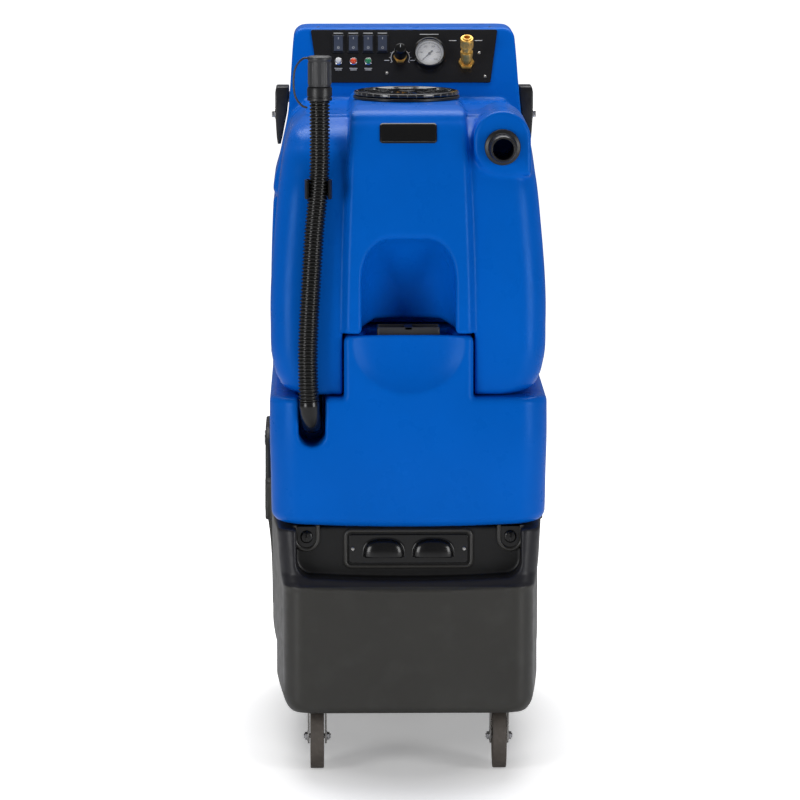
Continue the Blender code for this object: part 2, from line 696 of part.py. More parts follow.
def join_tower(tank):
    """Control tower behind the lid, with a leaning front."""
    tower = bmesh.new()
    sections = [
        (COLUMN_TOP + 0.002, 0.2065, -0.020), (0.866, 0.2085, -0.020), (0.920, 0.1990, -0.020),
        (0.980, 0.1870, -0.010), (1.012, 0.1840, 0.045), (1.034, 0.1825, tower_front(1.034)),
        (1.100, 0.1780, tower_front(1.100)), (1.111, 0.1740, tower_front(1.111)),
        (1.1175, 0.1680, 0.1130), (TOWER_TOP, 0.1580, 0.1250)]
    add_loft(tower, [tower_ring(z, half, front, 0, 0.020, 0.030) for z, half, front in sections])
    join(tank, "recovery_tower", tower)


def cut_recovery_hollows(tank):
    """Wet space behind and beside the niche, dry tower, and the openings into them."""
    wet = bmesh.new()
    sections = [
        (0.845, 0.1930, -0.3200), (0.925, 0.1870, -0.3060),
        (0.965, 0.1780, -0.2870), (0.996, 0.1500, -0.2300)]
    add_loft(wet, [ring(z, half, front, 0.0490, 0.036, 0.010) for z, half, front in sections])
    cut(tank, "recovery_wet_upper", wet)
    behind = bmesh.new()
    add_block(behind, (-0.187, 0.187), (-0.245, 0.0490), (RIDGE_BOTTOM + WALL, 0.850))
    cut(tank, "recovery_wet_middle", behind)
    legs = bmesh.new()
    for side in (-1, 1):
        corners = [
            (side * 0.110, 0.600, 0.012),
            (side * 0.182, 0.600, 0.012),
            (side * 0.1960, 0.640, 0.012),
            (side * 0.1860, 0.847, 0),
            (side * 0.110, 0.847, 0),
        ]
        add_prism(legs, rounded_outline(corners, 2), "Y", -0.318, 0.0485)
    cut(tank, "recovery_wet_legs", legs)
    dry = bmesh.new()
    sections = [
        (0.866, 0.196), (0.920, 0.1885), (0.980, 0.1765),
        (1.034, 0.1725), (1.100, 0.168), (1.112, 0.160)]
    add_loft(dry, [tower_ring(z, half, tower_front(z) + 0.010, WALL, 0.015, 0.023) for z, half in sections])
    cut(tank, "tower_dry_cavity", dry)
    window = bmesh.new()
    add_panel_block(window, (-0.124, 0.124), (0.010, 0.074), (-0.030, 0.010))
    cut(tank, "tower_panel_window", window)
    hole = bmesh.new()
    add_rod(hole, LID_HOLE, 0.95, 1.06, (0, LID_Y, 0), (0, 0, 1), 24)
    cut(tank, "recovery_lid_hole", hole)
    bore = bmesh.new()
    add_rod(bore, 0.0202, -0.02, 0.09, PORT, (0, 1, 0), 20)
    cut(tank, "recovery_port_bore", bore)
    drain = bmesh.new()
    add_rod(drain, 0.0126, 0.57, 0.62, (DRAIN_X, -0.296, 0), (0, 0, 1), 16)
    cut(tank, "recovery_drain_hole", drain)


def build_lid(dark, clear, parent):
    ring_top = 1.0330
    collar = bmesh.new()
    profile = [(0.0655, RIDGE_TOP + GAP), (0.0870, RIDGE_TOP + GAP), (0.0870, 1.0310),
               (0.0850, ring_top), (0.0655, ring_top)]
    add_turned(collar, profile, (0, LID_Y, 0), (0, 0, 1), 24, closed=True)
    node("lid_ring", collar, dark, parent=parent)
    lid = bmesh.new()
    foot = ring_top + GAP
    profile = [(0, foot), (0.0850, foot), (0.0850, 1.0385), (0.0830, 1.0398),
               (0.0690, 1.0398), (0.0670, 1.0385), (0, 1.0390)]
    add_turned(lid, profile, (0, LID_Y, 0), (0, 0, 1), 24)
    node("recovery_lid", lid, clear, origin=(0, LID_Y, foot), parent=parent)


def build_vacuum_path(dark, steel, clear, parent):
    """Port at the front, and the standpipe with the float that shuts it when the tank is full."""
    port = bmesh.new()
    profile = [(0.0160, -0.030), (0.0196, -0.030), (0.0196, GAP), (0.0275, GAP), (0.0275, 0.007),
               (0.0205, 0.013), (0.0195, 0.039), (0.0160, 0.039)]
    add_turned(port, profile, PORT, (0, -1, 0), 20, closed=True)
    node("vacuum_port", port, dark, parent=parent)
    middle = Vector((0.045, -0.020, 0))
    pipe_top = 0.900
    pipe = bmesh.new()
    add_pipe(pipe, 0.0240, 0.0210, RIDGE_BOTTOM + WALL + GAP, pipe_top, middle, (0, 0, 1), 20)
    node("vacuum_standpipe", pipe, steel, parent=parent)
    cage = bmesh.new()
    add_pipe(cage, 0.0290, 0.0210, pipe_top + GAP, 0.9780, middle, (0, 0, 1), 20)
    basket = node("float_cage", cage, dark, parent=parent)
    slots = bmesh.new()
    for width, depth in ((0.020, 0.090), (0.090, 0.020)):
        place = Matrix.Translation((middle.x, middle.y, 0.9400)) @ Matrix.Diagonal((width, depth, 0.054, 1))
        bmesh.ops.create_cube(slots, size=1.0, matrix=place)
    cut(basket, "float_cage_slots", slots)
    ball = bmesh.new()
    centre = Vector((middle.x, middle.y, 0.9210))
    place = Matrix.Translation(centre)
    bmesh.ops.create_uvsphere(ball, u_segments=12, v_segments=8, radius=0.0185, matrix=place)
    node("float_ball", ball, clear, origin=centre, parent=parent)


def build_strainer(dark, parent):
    strainer = bmesh.new()
    add_block(strainer, (-0.048, 0.048), (-0.333, -0.292), (0.625, 0.688))
    basket = node("fill_strainer", strainer, dark, origin=(0, -0.312, 0.688), parent=parent)
    hollow = bmesh.new()
    add_block(hollow, (-0.0455, 0.0455), (-0.3305, -0.2945), (0.6275, 0.72))
    cut(basket, "strainer_hollow", hollow)


def build_name_plate(dark, parent):
    """Blank plate on the sloping front of the ridge."""
    label = bmesh.new()
    loops = []
    lean = (0.3220 - 0.3050) / 0.035
    outline = box_outline(-0.0435, 0.0435, 0.974, 1.0035, 0.006)
    for out in (0.0006, 0.0024):
        loops.append([(x, -0.3220 + (z - 0.970) * lean - out, z) for x, z in outline])
    add_loft(label, loops)
    node("name_plate", label, dark, parent=parent)


# ---------------------------------------------------------------- drain hose

def build_drain_elbow(dark, parent):
    """Moulded elbow: its tail plugs into the tank and its mouth turns up to the hose."""
    tail = bmesh.new()
    place = Vector((DRAIN_X, -0.296, 0))
    profile = [(0, 0.532), (0.0150, 0.532), (0.0150, 0.5895), (0.0120, 0.5895), (0.0120, 0.618), (0, 0.618)]
    add_turned(tail, profile, place, (0, 0, 1), 16)
    made = node("drain_elbow", tail, dark, parent=parent)
    spout = bmesh.new()
    add_rod(spout, 0.0125, 0.0, 0.042, (DRAIN_X, -0.296, 0.5480), (0, -1, 0), 16)
    join(made, "drain_spout", spout)
    mouth = bmesh.new()
    bend = [(DRAIN_X, -0.3345, 0.5480), (DRAIN_X, -0.3450, 0.5484), (-0.1485, -0.3540, 0.5530),
            (-0.1503, -0.3635, 0.5660), (-0.1511, -0.3661, 0.5760), (-0.1516, -0.3665, 0.5850)]
    add_bent_rod(mouth, bend, 10, HOSE_RADIUS, 12, (1, 0, 0))
    join(made, "drain_mouth", mouth)


def build_drain_hose(dark, grey, parent):
    hose_route = [
        (-0.1516, -0.3665, 0.5856), (-0.1526, -0.3672, 0.6050), (-0.1532, -0.3670, 0.6280),
        (-0.1534, -0.3665, 0.6600), (-0.1520, -0.3650, 0.7000), (-0.1498, -0.3630, 0.7390),
        (-0.1466, -0.3595, 0.7920), (-0.1430, -0.3550, 0.8450), (-0.1375, -0.3495, 0.9000),
        (-0.1350, -0.3470, 0.9400), (-0.1345, -0.3455, 0.9900), (-0.1345, -0.3450, 1.0406)]
    tube("drain_hose", hose_route, HOSE_RADIUS, 24, dark, parent)
    top = Vector((-0.1345, -0.3450, 0))
    cuff = bmesh.new()
    profile = [(0, 1.0410), (0.0188, 1.0410), (0.0190, 1.0430),
               (0.0190, 1.0600), (0.0178, 1.0618), (0, 1.0618)]
    add_turned(cuff, profile, top, (0, 0, 1), 20)
    node("hose_cuff", cuff, dark, parent=parent)
    cap = bmesh.new()
    profile = [(0, 1.0622), (0.0172, 1.0622), (0.0170, 1.1020), (0.0182, 1.1032),
               (0.0182, 1.1070), (0.0150, 1.1085), (0, 1.1085)]
    add_turned(cap, profile, top, (0, 0, 1), 20)
    made = node("hose_cap", cap, grey, parent=parent)
    strap = bmesh.new()
    loop = [(-0.1490, 1.1050), (-0.1600, 1.1040), (-0.1710, 1.0900), (-0.1738, 1.0680),
            (-0.1710, 1.0470), (-0.1620, 1.0340), (-0.1530, 1.0300)]
    add_bent_rod(strap, [(x, top.y, z) for x, z in loop], 12, 0.0018, 6, (0, 1, 0))
    join(made, "cap_strap", strap)


def build_hose_clip(dark, parent):
    """Open ring that the hose snaps into, with its gap towards the front."""
    clip = bmesh.new()
    middle = Vector((-0.1368, -0.3490))
    inner, outer = 0.0184, 0.0208
    half_gap = math.radians(52)
    sweep = 2 * math.pi - 2 * half_gap
    arc = [-math.pi / 2 + half_gap + sweep * step / 14 for step in range(15)]
    outline = [(middle.x + outer * math.cos(a), middle.y + outer * math.sin(a)) for a in arc]
    outline += [(middle.x + inner * math.cos(a), middle.y + inner * math.sin(a)) for a in reversed(arc)]
    add_prism(clip, outline, "Z", CLIP_Z - 0.0145, CLIP_Z + 0.0145)
    node("hose_clip", clip, dark, parent=parent)


# ---------------------------------------------------------------- control panel

def build_control_panel(finish, parent):
    panel = bmesh.new()
    foot, top = (0.1375, 0.0010), (0.1485, 0.0835)
    corners = [(-foot[0], foot[1], 0.002), (*foot, 0.002), (*top, 0.002), (-top[0], top[1], 0.002)]
    outline = rounded_outline(corners, 2)
    add_loft(panel, [[on_panel(x, up, out) for x, up in outline] for out in (GAP, PANEL_SKIN)])
    node("control_panel", panel, finish, parent=parent)


def build_rockers(bezel_finish, rocker_finish, parent):
    middle = 0.0677
    places = (-0.1055, -0.0815, -0.0578, -0.0347)
    strip = bmesh.new()
    windows = bmesh.new()
    frames = bmesh.new()
    add_panel_block(strip, (places[0] - 0.008, places[-1] + 0.008), (middle - 0.0148, middle + 0.0148),
                    (PANEL_SKIN + GAP, PANEL_SKIN + 0.0012))
    for x in places:
        frame_out = (PANEL_SKIN + GAP * 1.2, PANEL_SKIN + 0.0032)
        add_panel_block(frames, (x - 0.0094, x + 0.0094), (middle - 0.0152, middle + 0.0152), frame_out)
        add_panel_block(windows, (x - 0.0077, x + 0.0077), (middle - 0.0135, middle + 0.0135), (0.001, 0.02))
    bezels = node("switch_bezels", strip, bezel_finish, parent=parent)
    join(bezels, "switch_frames", frames)
    cut(bezels, "switch_windows", windows)
    for number, x in enumerate(places, start=1):
        pivot = on_panel(x, middle, 0.0072)
        rocker = bmesh.new()
        sides = (x - 0.0072, x + 0.0072)
        ends = (middle - 0.0128, middle + 0.0128)
        add_panel_block(rocker, sides, ends, (0.0054, 0.0086), math.radians(8), pivot)
        node("rocker_%d" % number, rocker, rocker_finish, origin=pivot, parent=parent)


def build_button_and_lamps(chrome, white, red, green, parent):
    up = 0.0372
    collar = bmesh.new()
    add_pipe(collar, 0.0066, 0.0048, GAP, 0.0032, on_panel(-0.1055, up, PANEL_SKIN), PANEL_OUT, 14)
    node("reset_bezel", collar, chrome, parent=parent)
    button = bmesh.new()
    place = on_panel(-0.1055, up, PANEL_SKIN + 0.0035)
    profile = [(0, -0.0004), (0.0044, -0.0004), (0.0044, 0.0045), (0.0038, 0.0056), (0, 0.0056)]
    add_turned(button, profile, place, PANEL_OUT, 12)
    node("reset_button", button, white, origin=place, parent=parent)
    for name, x, finish in (("lamp_red", -0.0815, red), ("lamp_green", -0.0578, green)):
        lens = bmesh.new()
        profile = [(0, GAP), (0.0066, GAP), (0.0066, 0.0032), (0.0048, 0.0032),
                   (0.0044, 0.0040), (0.0030, 0.0052), (0, 0.0058)]
        add_turned(lens, profile, on_panel(x, up, PANEL_SKIN), PANEL_OUT, 12)
        node(name, lens, finish, parent=parent)


def build_regulator(brass, dark, parent):
    place = on_panel(-0.0065, 0.0445, PANEL_SKIN)
    nut = bmesh.new()
    profile = [(0, GAP), (0.0105, GAP), (0.0105, 0.0070), (0.0080, 0.0085), (0.0080, 0.0115), (0, 0.0115)]
    add_turned(nut, profile, place, PANEL_OUT, 18)
    node("regulator_nut", nut, brass, parent=parent)
    knob = bmesh.new()
    profile = [(0, 0.0119), (0.0098, 0.0119), (0.0102, 0.0150),
               (0.0088, 0.0360), (0.0072, 0.0385), (0, 0.0385)]
    add_turned(knob, profile, place, PANEL_OUT, 16)
    node("regulator_knob", knob, dark, origin=place, parent=parent)


def build_gauge(dark, white, glass, parent):
    place = on_panel(0.0403, 0.0480, PANEL_SKIN)
    case = bmesh.new()
    profile = [(0, GAP), (0.0255, GAP), (0.0255, 0.0150), (0.0245, 0.0160),
               (0.0230, 0.0160), (0.0230, 0.0060), (0, 0.0060)]
    add_turned(case, profile, place, PANEL_OUT, 24)
    node("gauge_case", case, dark, parent=parent)
    dial = bmesh.new()
    add_rod(dial, 0.0225, 0.0064, 0.0072, place, PANEL_OUT, 24)
    node("gauge_dial", dial, white, parent=parent)
    needle = bmesh.new()
    turn = math.radians(135)
    along = PANEL_UP * math.cos(turn) + Vector((-1, 0, 0)) * math.sin(turn)
    across = PANEL_OUT.cross(along)
    loops = []
    for out in (0.0077, 0.0085):
        base = place + PANEL_OUT * out
        loops.append([base + along * 0.0185 + across * 0.0003, base + along * 0.0185 - across * 0.0003,
                      base - across * 0.0013, base - along * 0.0060 - across * 0.0013,
                      base - along * 0.0060 + across * 0.0013, base + across * 0.0013])
    add_loft(needle, loops)
    node("gauge_needle", needle, dark, origin=place, parent=parent)
    lens = bmesh.new()
    add_rod(lens, 0.0225, 0.0134, 0.0150, place, PANEL_OUT, 24)
    node("gauge_lens", lens, glass, parent=parent)


def build_coupler(brass, parent):
    foot = on_panel(0.0992, 0.0345, PANEL_SKIN)
    lean = math.radians(32)
    axis = PANEL_OUT * math.cos(lean) + PANEL_UP * math.sin(lean)
    knee = foot + PANEL_OUT * 0.0190
    nut = bmesh.new()
    add_rod(nut, 0.0125, GAP, 0.0070, foot, PANEL_OUT, 6)
    made = node("coupler_body", nut, brass, parent=parent)
    start = bmesh.new()
    add_rod(start, 0.0086, 0.0030, 0.0200, foot, PANEL_OUT, 16)
    join(made, "coupler_elbow", start)
    rest = bmesh.new()
    profile = [(0, -0.0050), (0.0085, -0.0050), (0.0092, 0.0000), (0.0092, 0.0140), (0.0070, 0.0150),
               (0.0070, 0.0410), (0.0052, 0.0410), (0.0052, 0.0300), (0, 0.0300)]
    add_turned(rest, profile, knee, axis, 16)
    join(made, "coupler_stem", rest)
    sleeve = bmesh.new()
    profile = [(0.0075, 0.0215), (0.0104, 0.0215), (0.0104, 0.0375), (0.0098, 0.0390), (0.0075, 0.0390)]
    add_turned(sleeve, profile, knee, axis, 16, closed=True)
    node("coupler_sleeve", sleeve, brass, origin=knee + axis * 0.0300, parent=parent)


# ---------------------------------------------------------------- handle

def build_handle(dark, parent):
    levels = ((0.934, 0.1985, 0.2035, 0.012), (0.960, 0.1935, 0.2055, 0.020), (0.985, 0.1885, 0.2070, 0.028),
              (1.022, 0.1850, 0.2070, 0.028), (1.026, 0.1860, 0.2055, 0.026))
    for side, name in ((-1, "left"), (1, "right")):
        bracket = bmesh.new()
        loops = []
        for z, inner, outer, reach in levels:
            outline = ((inner, -reach), (outer, -reach), (outer, reach), (inner, reach))
            loops.append([(side * x, 0.118 + y, z) for x, y in outline])
        add_loft(bracket, loops)
        made = node("handle_bracket_%s" % name, bracket, dark, parent=parent)
        bolt = bmesh.new()
        add_rod(bolt, 0.0070, 0.2050, 0.2130, (0, 0.118, 0.983), (side, 0, 0), 6)
        join(made, "handle_bolt_%s" % name, bolt)
    arm_x, arm_z, front, back, bend = 0.1965, 0.990, 0.1466, 0.3650, 0.035
    route = [(-arm_x, front, arm_z), (-arm_x, 0.24, arm_z), (-arm_x, back - bend, arm_z)]
    route += [(-arm_x + bend * (1 - math.cos(a)), back - bend + bend * math.sin(a), arm_z)
              for a in (math.pi / 8, math.pi / 4, 3 * math.pi / 8)]
    route += [(-arm_x + bend, back, arm_z), (0, back, arm_z)]
    route += [(-x, y, z) for x, y, z in reversed(route[:-1])]
    tube("push_handle", route, 0.0090, 34, dark, parent)
    grip = bmesh.new()
    add_pipe(grip, 0.0150, 0.0096, -0.130, 0.130, (0, back, arm_z), (1, 0, 0), 20)
    node("handle_grip", grip, dark, parent=parent)


def build():
    clear_scene()
    blue = material("blue polyethylene", (0.003, 0.105, 0.520), 0.30)
    charcoal = material("charcoal polyethylene", (0.045, 0.042, 0.038), 0.55)
    black = material("black plastic", (0.012, 0.012, 0.013), 0.40)
    panel_black = material("black panel", (0.006, 0.006, 0.007), 0.15)
    slate = material("slate rocker plastic", (0.030, 0.036, 0.055), 0.35)
    rubber = material("black rubber", (0.020, 0.020, 0.020), 0.80)
    grey_rubber = material("grey brown rubber", (0.140, 0.115, 0.090), 0.70)
    zinc = material("zinc plated steel", (0.550, 0.540, 0.520), 0.35, 1.0)
    steel = material("steel", (0.450, 0.450, 0.460), 0.30, 1.0)
    chrome = material("chrome", (0.800, 0.800, 0.800), 0.10, 1.0)
    brass = material("brass", (0.780, 0.520, 0.180), 0.25, 1.0)
    white = material("white plastic", (0.800, 0.800, 0.780), 0.40)
    clear = material("smoked clear plastic", (0.050, 0.060, 0.070), 0.10)
    red = material("red lens", (0.700, 0.060, 0.010), 0.20)
    green = material("green lens", (0.010, 0.300, 0.090), 0.20)

    base = empty("base_frame", (0, 0, 0))
    upper = empty("tank_hinge_line", (0, HINGE_Y, HINGE_Z))

    build_base_housing(charcoal, base)
    build_base_pan(zinc, base)
    build_vent_plate(black, base)
    for side, name in ((-1, "left"), (1, "right")):
        build_catch(side, name, black, base)
        build_caster(side, name, zinc, grey_rubber, base)
        build_rear_wheel(side, name, black, rubber, base)
    build_axle(steel, base)
    build_internals(black, steel, base)
    build_hinge_pins(steel, base)
    build_solution_tank(blue, upper)
    build_recovery_tank(blue, upper)
    build_lid(black, clear, upper)
    build_vacuum_path(black, steel, white, upper)
    build_strainer(charcoal, upper)
    build_name_plate(black, upper)
    build_drain_elbow(black, upper)
    build_drain_hose(black, charcoal, upper)
    build_hose_clip(black, upper)
    build_control_panel(panel_black, upper)
    build_rockers(black, slate, upper)
    build_button_and_lamps(chrome, white, red, green, upper)
    build_regulator(brass, black, upper)
    build_gauge(black, white, clear, upper)
    build_coupler(brass, upper)
    build_handle(black, upper)


build()
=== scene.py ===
"""Looks of an upright carpet cleaner: moulded tanks and base, running gear, hose and controls.

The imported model's own frame: +Z up, front towards -Y, origin on the floor. Shapes are drawn in
millimetres and scaled once, in place_piece; the camera, lights and materials are in metres.
"""

import functools
import itertools
import json
import math

import bmesh
import bpy
import numpy as np
from mathutils import Matrix, Vector


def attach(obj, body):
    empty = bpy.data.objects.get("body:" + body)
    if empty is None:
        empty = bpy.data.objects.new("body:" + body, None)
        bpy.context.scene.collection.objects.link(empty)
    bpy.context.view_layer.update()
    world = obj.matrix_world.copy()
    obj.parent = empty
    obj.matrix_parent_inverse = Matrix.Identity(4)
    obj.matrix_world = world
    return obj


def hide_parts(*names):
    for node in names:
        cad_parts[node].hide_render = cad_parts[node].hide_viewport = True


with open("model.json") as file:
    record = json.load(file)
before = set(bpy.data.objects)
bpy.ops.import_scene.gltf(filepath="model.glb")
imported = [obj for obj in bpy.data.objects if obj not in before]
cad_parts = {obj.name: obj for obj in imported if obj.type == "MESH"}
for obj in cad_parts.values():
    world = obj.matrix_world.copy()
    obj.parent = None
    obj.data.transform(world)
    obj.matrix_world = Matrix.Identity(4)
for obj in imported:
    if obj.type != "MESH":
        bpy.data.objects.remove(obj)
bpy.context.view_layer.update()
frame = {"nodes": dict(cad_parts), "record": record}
MM = 0.001

UP = Vector((0, 0, 1))
FRONT = Vector((0, -1, 0))
ACROSS = Vector((1, 0, 0))
SIDES = ((-1, "left"), (1, "right"))

# Sloping control panel: its foot, and the directions up it and out of it
PANEL_LEAN = math.radians(28)
PANEL_FOOT = Vector((0, 66, 1034))
PANEL_UP = Vector((0, math.sin(PANEL_LEAN), math.cos(PANEL_LEAN)))
PANEL_OUT = Vector((0, -math.cos(PANEL_LEAN), math.sin(PANEL_LEAN)))
PANEL_SKIN = 2.4

# Places shared by several pieces
PORT = Vector((143, -322, 968))
LID = Vector((0, -130, 0))
DRAIN_X = -147.5
CLIP = Vector((-136.8, -349, 907))
CATCH = Vector((156.5, -328, 369))
RECESS_FACE = -328
AXLE = Vector((0, 250, 127))
WHEEL_INNER = 155
WHEEL_OUTER = 203
CASTER_RADIUS = 50
CASTER_HALF = 10.5
HANDLE_Z = 990


# ---------------------------------------------------------------- shader nodes

# Places of the colour sockets on a mix node, whose socket names are not unique
MIX_SHARE, MIX_FIRST, MIX_SECOND, MIX_COLOUR = 0, 6, 7, 2


def is_socket(value):
    return isinstance(value, bpy.types.NodeSocket)


def add_node(tree, kind, inputs=(), **settings):
    """A new node; an input is linked where it is given a socket, and set where it is given a value."""
    made = tree.nodes.new("ShaderNode" + kind)
    for name, value in settings.items():
        setattr(made, name, value)
    for key, value in dict(inputs).items():
        if is_socket(value):
            tree.links.new(value, made.inputs[key])
        else:
            made.inputs[key].default_value = value
    return made.outputs


def bump_node(tree, height, strength, distance, below):
    inputs = {"Height": height, "Strength": strength, "Distance": distance}
    if below is not None:
        inputs["Normal"] = below
    return add_node(tree, "Bump", inputs)["Normal"]


def noise_node(tree, scale, detail, stretch):
    place = add_node(tree, "TexCoord")["Object"]
    mapped = add_node(tree, "Mapping", {"Vector": place, "Scale": stretch})["Vector"]
    return add_node(tree, "TexNoise", {"Vector": mapped, "Scale": scale, "Detail": detail})["Fac"]


def range_node(tree, value, low, high, from_low=0.3, from_high=0.7):
    inputs = {"Value": value, "From Min": from_low, "From Max": from_high, "To Min": low, "To Max": high}
    return add_node(tree, "MapRange", inputs)["Result"]


def times_node(tree, first, second):
    return add_node(tree, "Math", {0: first, 1: second}, operation="MULTIPLY")["Value"]


def mix_node(tree, share, *pair):
    """Colour between two, each a socket or a fixed colour."""
    first, second = [value if is_socket(value) else (*value, 1) for value in pair]
    inputs = {MIX_SHARE: share, MIX_FIRST: first, MIX_SECOND: second}
    return add_node(tree, "Mix", inputs, data_type="RGBA")[MIX_COLOUR]


def region_node(tree, limits):
    """1 inside a box of object coordinates and 0 outside; limits are (axis, low, high, softness)."""
    place = add_node(tree, "TexCoord")["Object"]
    parts = add_node(tree, "SeparateXYZ", {"Vector": place})
    total = None
    for axis, low, high, soft in limits:
        for edge, start, end in ((low, 0, 1), (high, 1, 0)):
            share = range_node(tree, parts[axis], start, end, edge - soft, edge + soft)
            total = share if total is None else times_node(tree, total, share)
    return total


# ---------------------------------------------------------------- camera, light and floor

CAMERA_PLACE, CAMERA_TARGET = (-0.115, -7.36, 1.62), (0, -0.10, 0.552)
CAMERA_LENS = 209.2
CAMERA_SHIFT = (-0.0076, -0.00375)
# Soft lamps: name, place, target, size, power
LAMPS = (("key_left", (-2.7, -2.9, 1.1), (0, 0, 0.7), (1.4, 1.9), 50),
         ("key_right", (2.9, -2.7, 1.1), (0, 0, 0.7), (1.4, 1.9), 50),
         ("top", (0, 0.75, 3.0), (0, 0.15, 0.6), (2.6, 1.6), 64))
WORLD_GREY = (0.16, 0.16, 0.17)
WHITE = (1, 1, 1)
FLOOR_REACH = 60.0
FLOOR_PAINT = {"Base Color": (0.94, 0.94, 0.94, 1), "Roughness": 0.9, "Specular IOR Level": 0.1,
               "Emission Color": (*WHITE, 1)}
# The floor's glow: weaker in an oval round the machine, which paints a darker patch there as painted shadow
# over the cast shadow; how much it is drawn in sideways, and (strength, distance) near and far
PAINTED_SHADOW_OVAL = (2.4, 1, 1)
GLOW_NEAR, GLOW_FAR = (0.24, 0.36), (0.99, 1.0)


def add_aimed(data, place, target):
    holder = bpy.data.objects.new(data.name, data)
    holder.location = place
    aim = Vector(target) - holder.location
    holder.rotation_euler = aim.to_track_quat("-Z", "Y").to_euler()
    bpy.context.scene.collection.objects.link(holder)
    return holder


def make_camera():
    camera = bpy.data.cameras.new("camera")
    camera.lens = CAMERA_LENS
    camera.sensor_width = 36
    camera.shift_x, camera.shift_y = CAMERA_SHIFT
    camera.clip_end = 50
    bpy.context.scene.camera = add_aimed(camera, CAMERA_PLACE, CAMERA_TARGET)


def make_light():
    scene = bpy.context.scene
    scene.view_settings.view_transform = "Standard"
    world = bpy.data.worlds.new("studio")
    world.use_nodes = True
    tree = world.node_tree
    colour = mix_node(tree, add_node(tree, "LightPath")["Is Camera Ray"], WORLD_GREY, WHITE)
    tree.links.new(colour, tree.nodes["Background"].inputs["Color"])
    scene.world = world
    for name, place, target, size, power in LAMPS:
        lamp = bpy.data.lights.new(name, "AREA")
        lamp.shape = "RECTANGLE"
        lamp.size, lamp.size_y = size
        lamp.energy = power
        add_aimed(lamp, place, target)


def make_floor():
    """Wide pale floor; a glow that only the camera sees keeps it white far from the lights, and is weaker
    round the machine as painted shadow.
    """
    mesh = bpy.data.meshes.new("floor")
    corners = ((-1, -1), (1, -1), (1, 1), (-1, 1))
    mesh.from_pydata([(x * FLOOR_REACH, y * FLOOR_REACH, 0) for x, y in corners], [], [(0, 1, 2, 3)])
    floor = bpy.data.objects.new("floor", mesh)
    paint = bpy.data.materials.new("floor paint")
    paint.use_nodes = True
    tree = paint.node_tree
    shader = tree.nodes["Principled BSDF"]
    for name, value in FLOOR_PAINT.items():
        shader.inputs[name].default_value = value
    place = add_node(tree, "TexCoord")["Object"]
    oval = add_node(tree, "VectorMath", {0: place, 1: PAINTED_SHADOW_OVAL}, operation="MULTIPLY")["Vector"]
    distance = add_node(tree, "VectorMath", {0: oval}, operation="LENGTH")["Value"]
    # Painted shadow: the glow fades out in an oval round the machine
    glow_beyond_shadow = range_node(tree, distance, GLOW_NEAR[0], GLOW_FAR[0], GLOW_NEAR[1], GLOW_FAR[1])
    glow = times_node(tree, glow_beyond_shadow, add_node(tree, "LightPath")["Is Camera Ray"])
    tree.links.new(glow, shader.inputs["Emission Strength"])
    mesh.materials.append(paint)
    bpy.context.scene.collection.objects.link(floor)


# ---------------------------------------------------------------- materials

# Octaves of the noise in each layer of a finish
MOTTLE_DETAIL, DUST_DETAIL, GLOSS_DETAIL, GRAIN_DETAIL = 4, 6, 5, 2
# Dust lies in smaller patches than the mottling, where its noise rises past these levels
DUST_SCALE = 2.7
DUST_LEVELS = (0.52, 0.78)


def finish(name, colour, roughness, mottle, patch, gloss_spread, gloss_scale, grains,
           stretch=(1, 1, 1), dust=None, regions=(), **sockets):
    """Procedural surface: mottled colour, uneven gloss, and layers of fine relief.

    Each of `grains` is (scale, strength, distance); `dust` is (colour, share) in slow patches;
    each painted shade is (colour, limits): a darker colour painted in a box where shade falls.
    """
    made = bpy.data.materials.new(name)
    made.use_nodes = True
    tree = made.node_tree
    shader = tree.nodes["Principled BSDF"]
    darker = tuple(c * (1 - mottle) for c in colour)
    lighter = tuple(min(1.0, c * (1 + mottle) + mottle * 0.01) for c in colour)
    share = range_node(tree, noise_node(tree, patch, MOTTLE_DETAIL, stretch), 0, 1)
    tone = mix_node(tree, share, darker, lighter)
    if dust is not None:
        dust_colour, most = dust
        spots = noise_node(tree, patch * DUST_SCALE, DUST_DETAIL, stretch)
        tone = mix_node(tree, range_node(tree, spots, 0, most, *DUST_LEVELS), tone, dust_colour)
    # Painted shade: a darker colour mixed in over each box
    for shade, limits in regions:
        tone = mix_node(tree, region_node(tree, limits), tone, shade)
    tree.links.new(tone, shader.inputs["Base Color"])
    gloss = range_node(tree, noise_node(tree, gloss_scale, GLOSS_DETAIL, stretch),
                       max(0.02, roughness - gloss_spread), min(1.0, roughness + gloss_spread))
    tree.links.new(gloss, shader.inputs["Roughness"])
    normal = None
    for scale, strength, distance in grains:
        height = noise_node(tree, scale, GRAIN_DETAIL, stretch)
        normal = bump_node(tree, height, strength, distance, normal)
    if normal is not None:
        tree.links.new(normal, shader.inputs["Normal"])
    for socket, value in sockets.items():
        shader.inputs[socket.replace("_", " ")].default_value = value
    return made


ORANGE_PEEL = ((75, 0.05, 0.0016), (420, 0.08, 0.0004))
COARSE_PEEL = ((75, 0.10, 0.0016), (1100, 0.22, 0.0003))
FINE_GRAIN = ((900, 0.25, 0.0003), (160, 0.08, 0.0008))

# Painted shade on the charcoal base: a darker, faintly bluish band on the ledge across the front of the base,
# painted shade with a painted reflection of the tank, and near black painted shade in the recess under it
LEDGE_PAINTED_SHADE = ((0.012, 0.012, 0.016), (("Y", -0.400, -0.334, 0.003), ("Z", 0.299, 0.400, 0.0008)))
RECESS_PAINTED_SHADE = ((0.006, 0.006, 0.006),
          (("X", -0.1735, 0.1735, 0.001), ("Y", -0.341, -0.310, 0.003), ("Z", 0.303, 0.400, 0.002)))

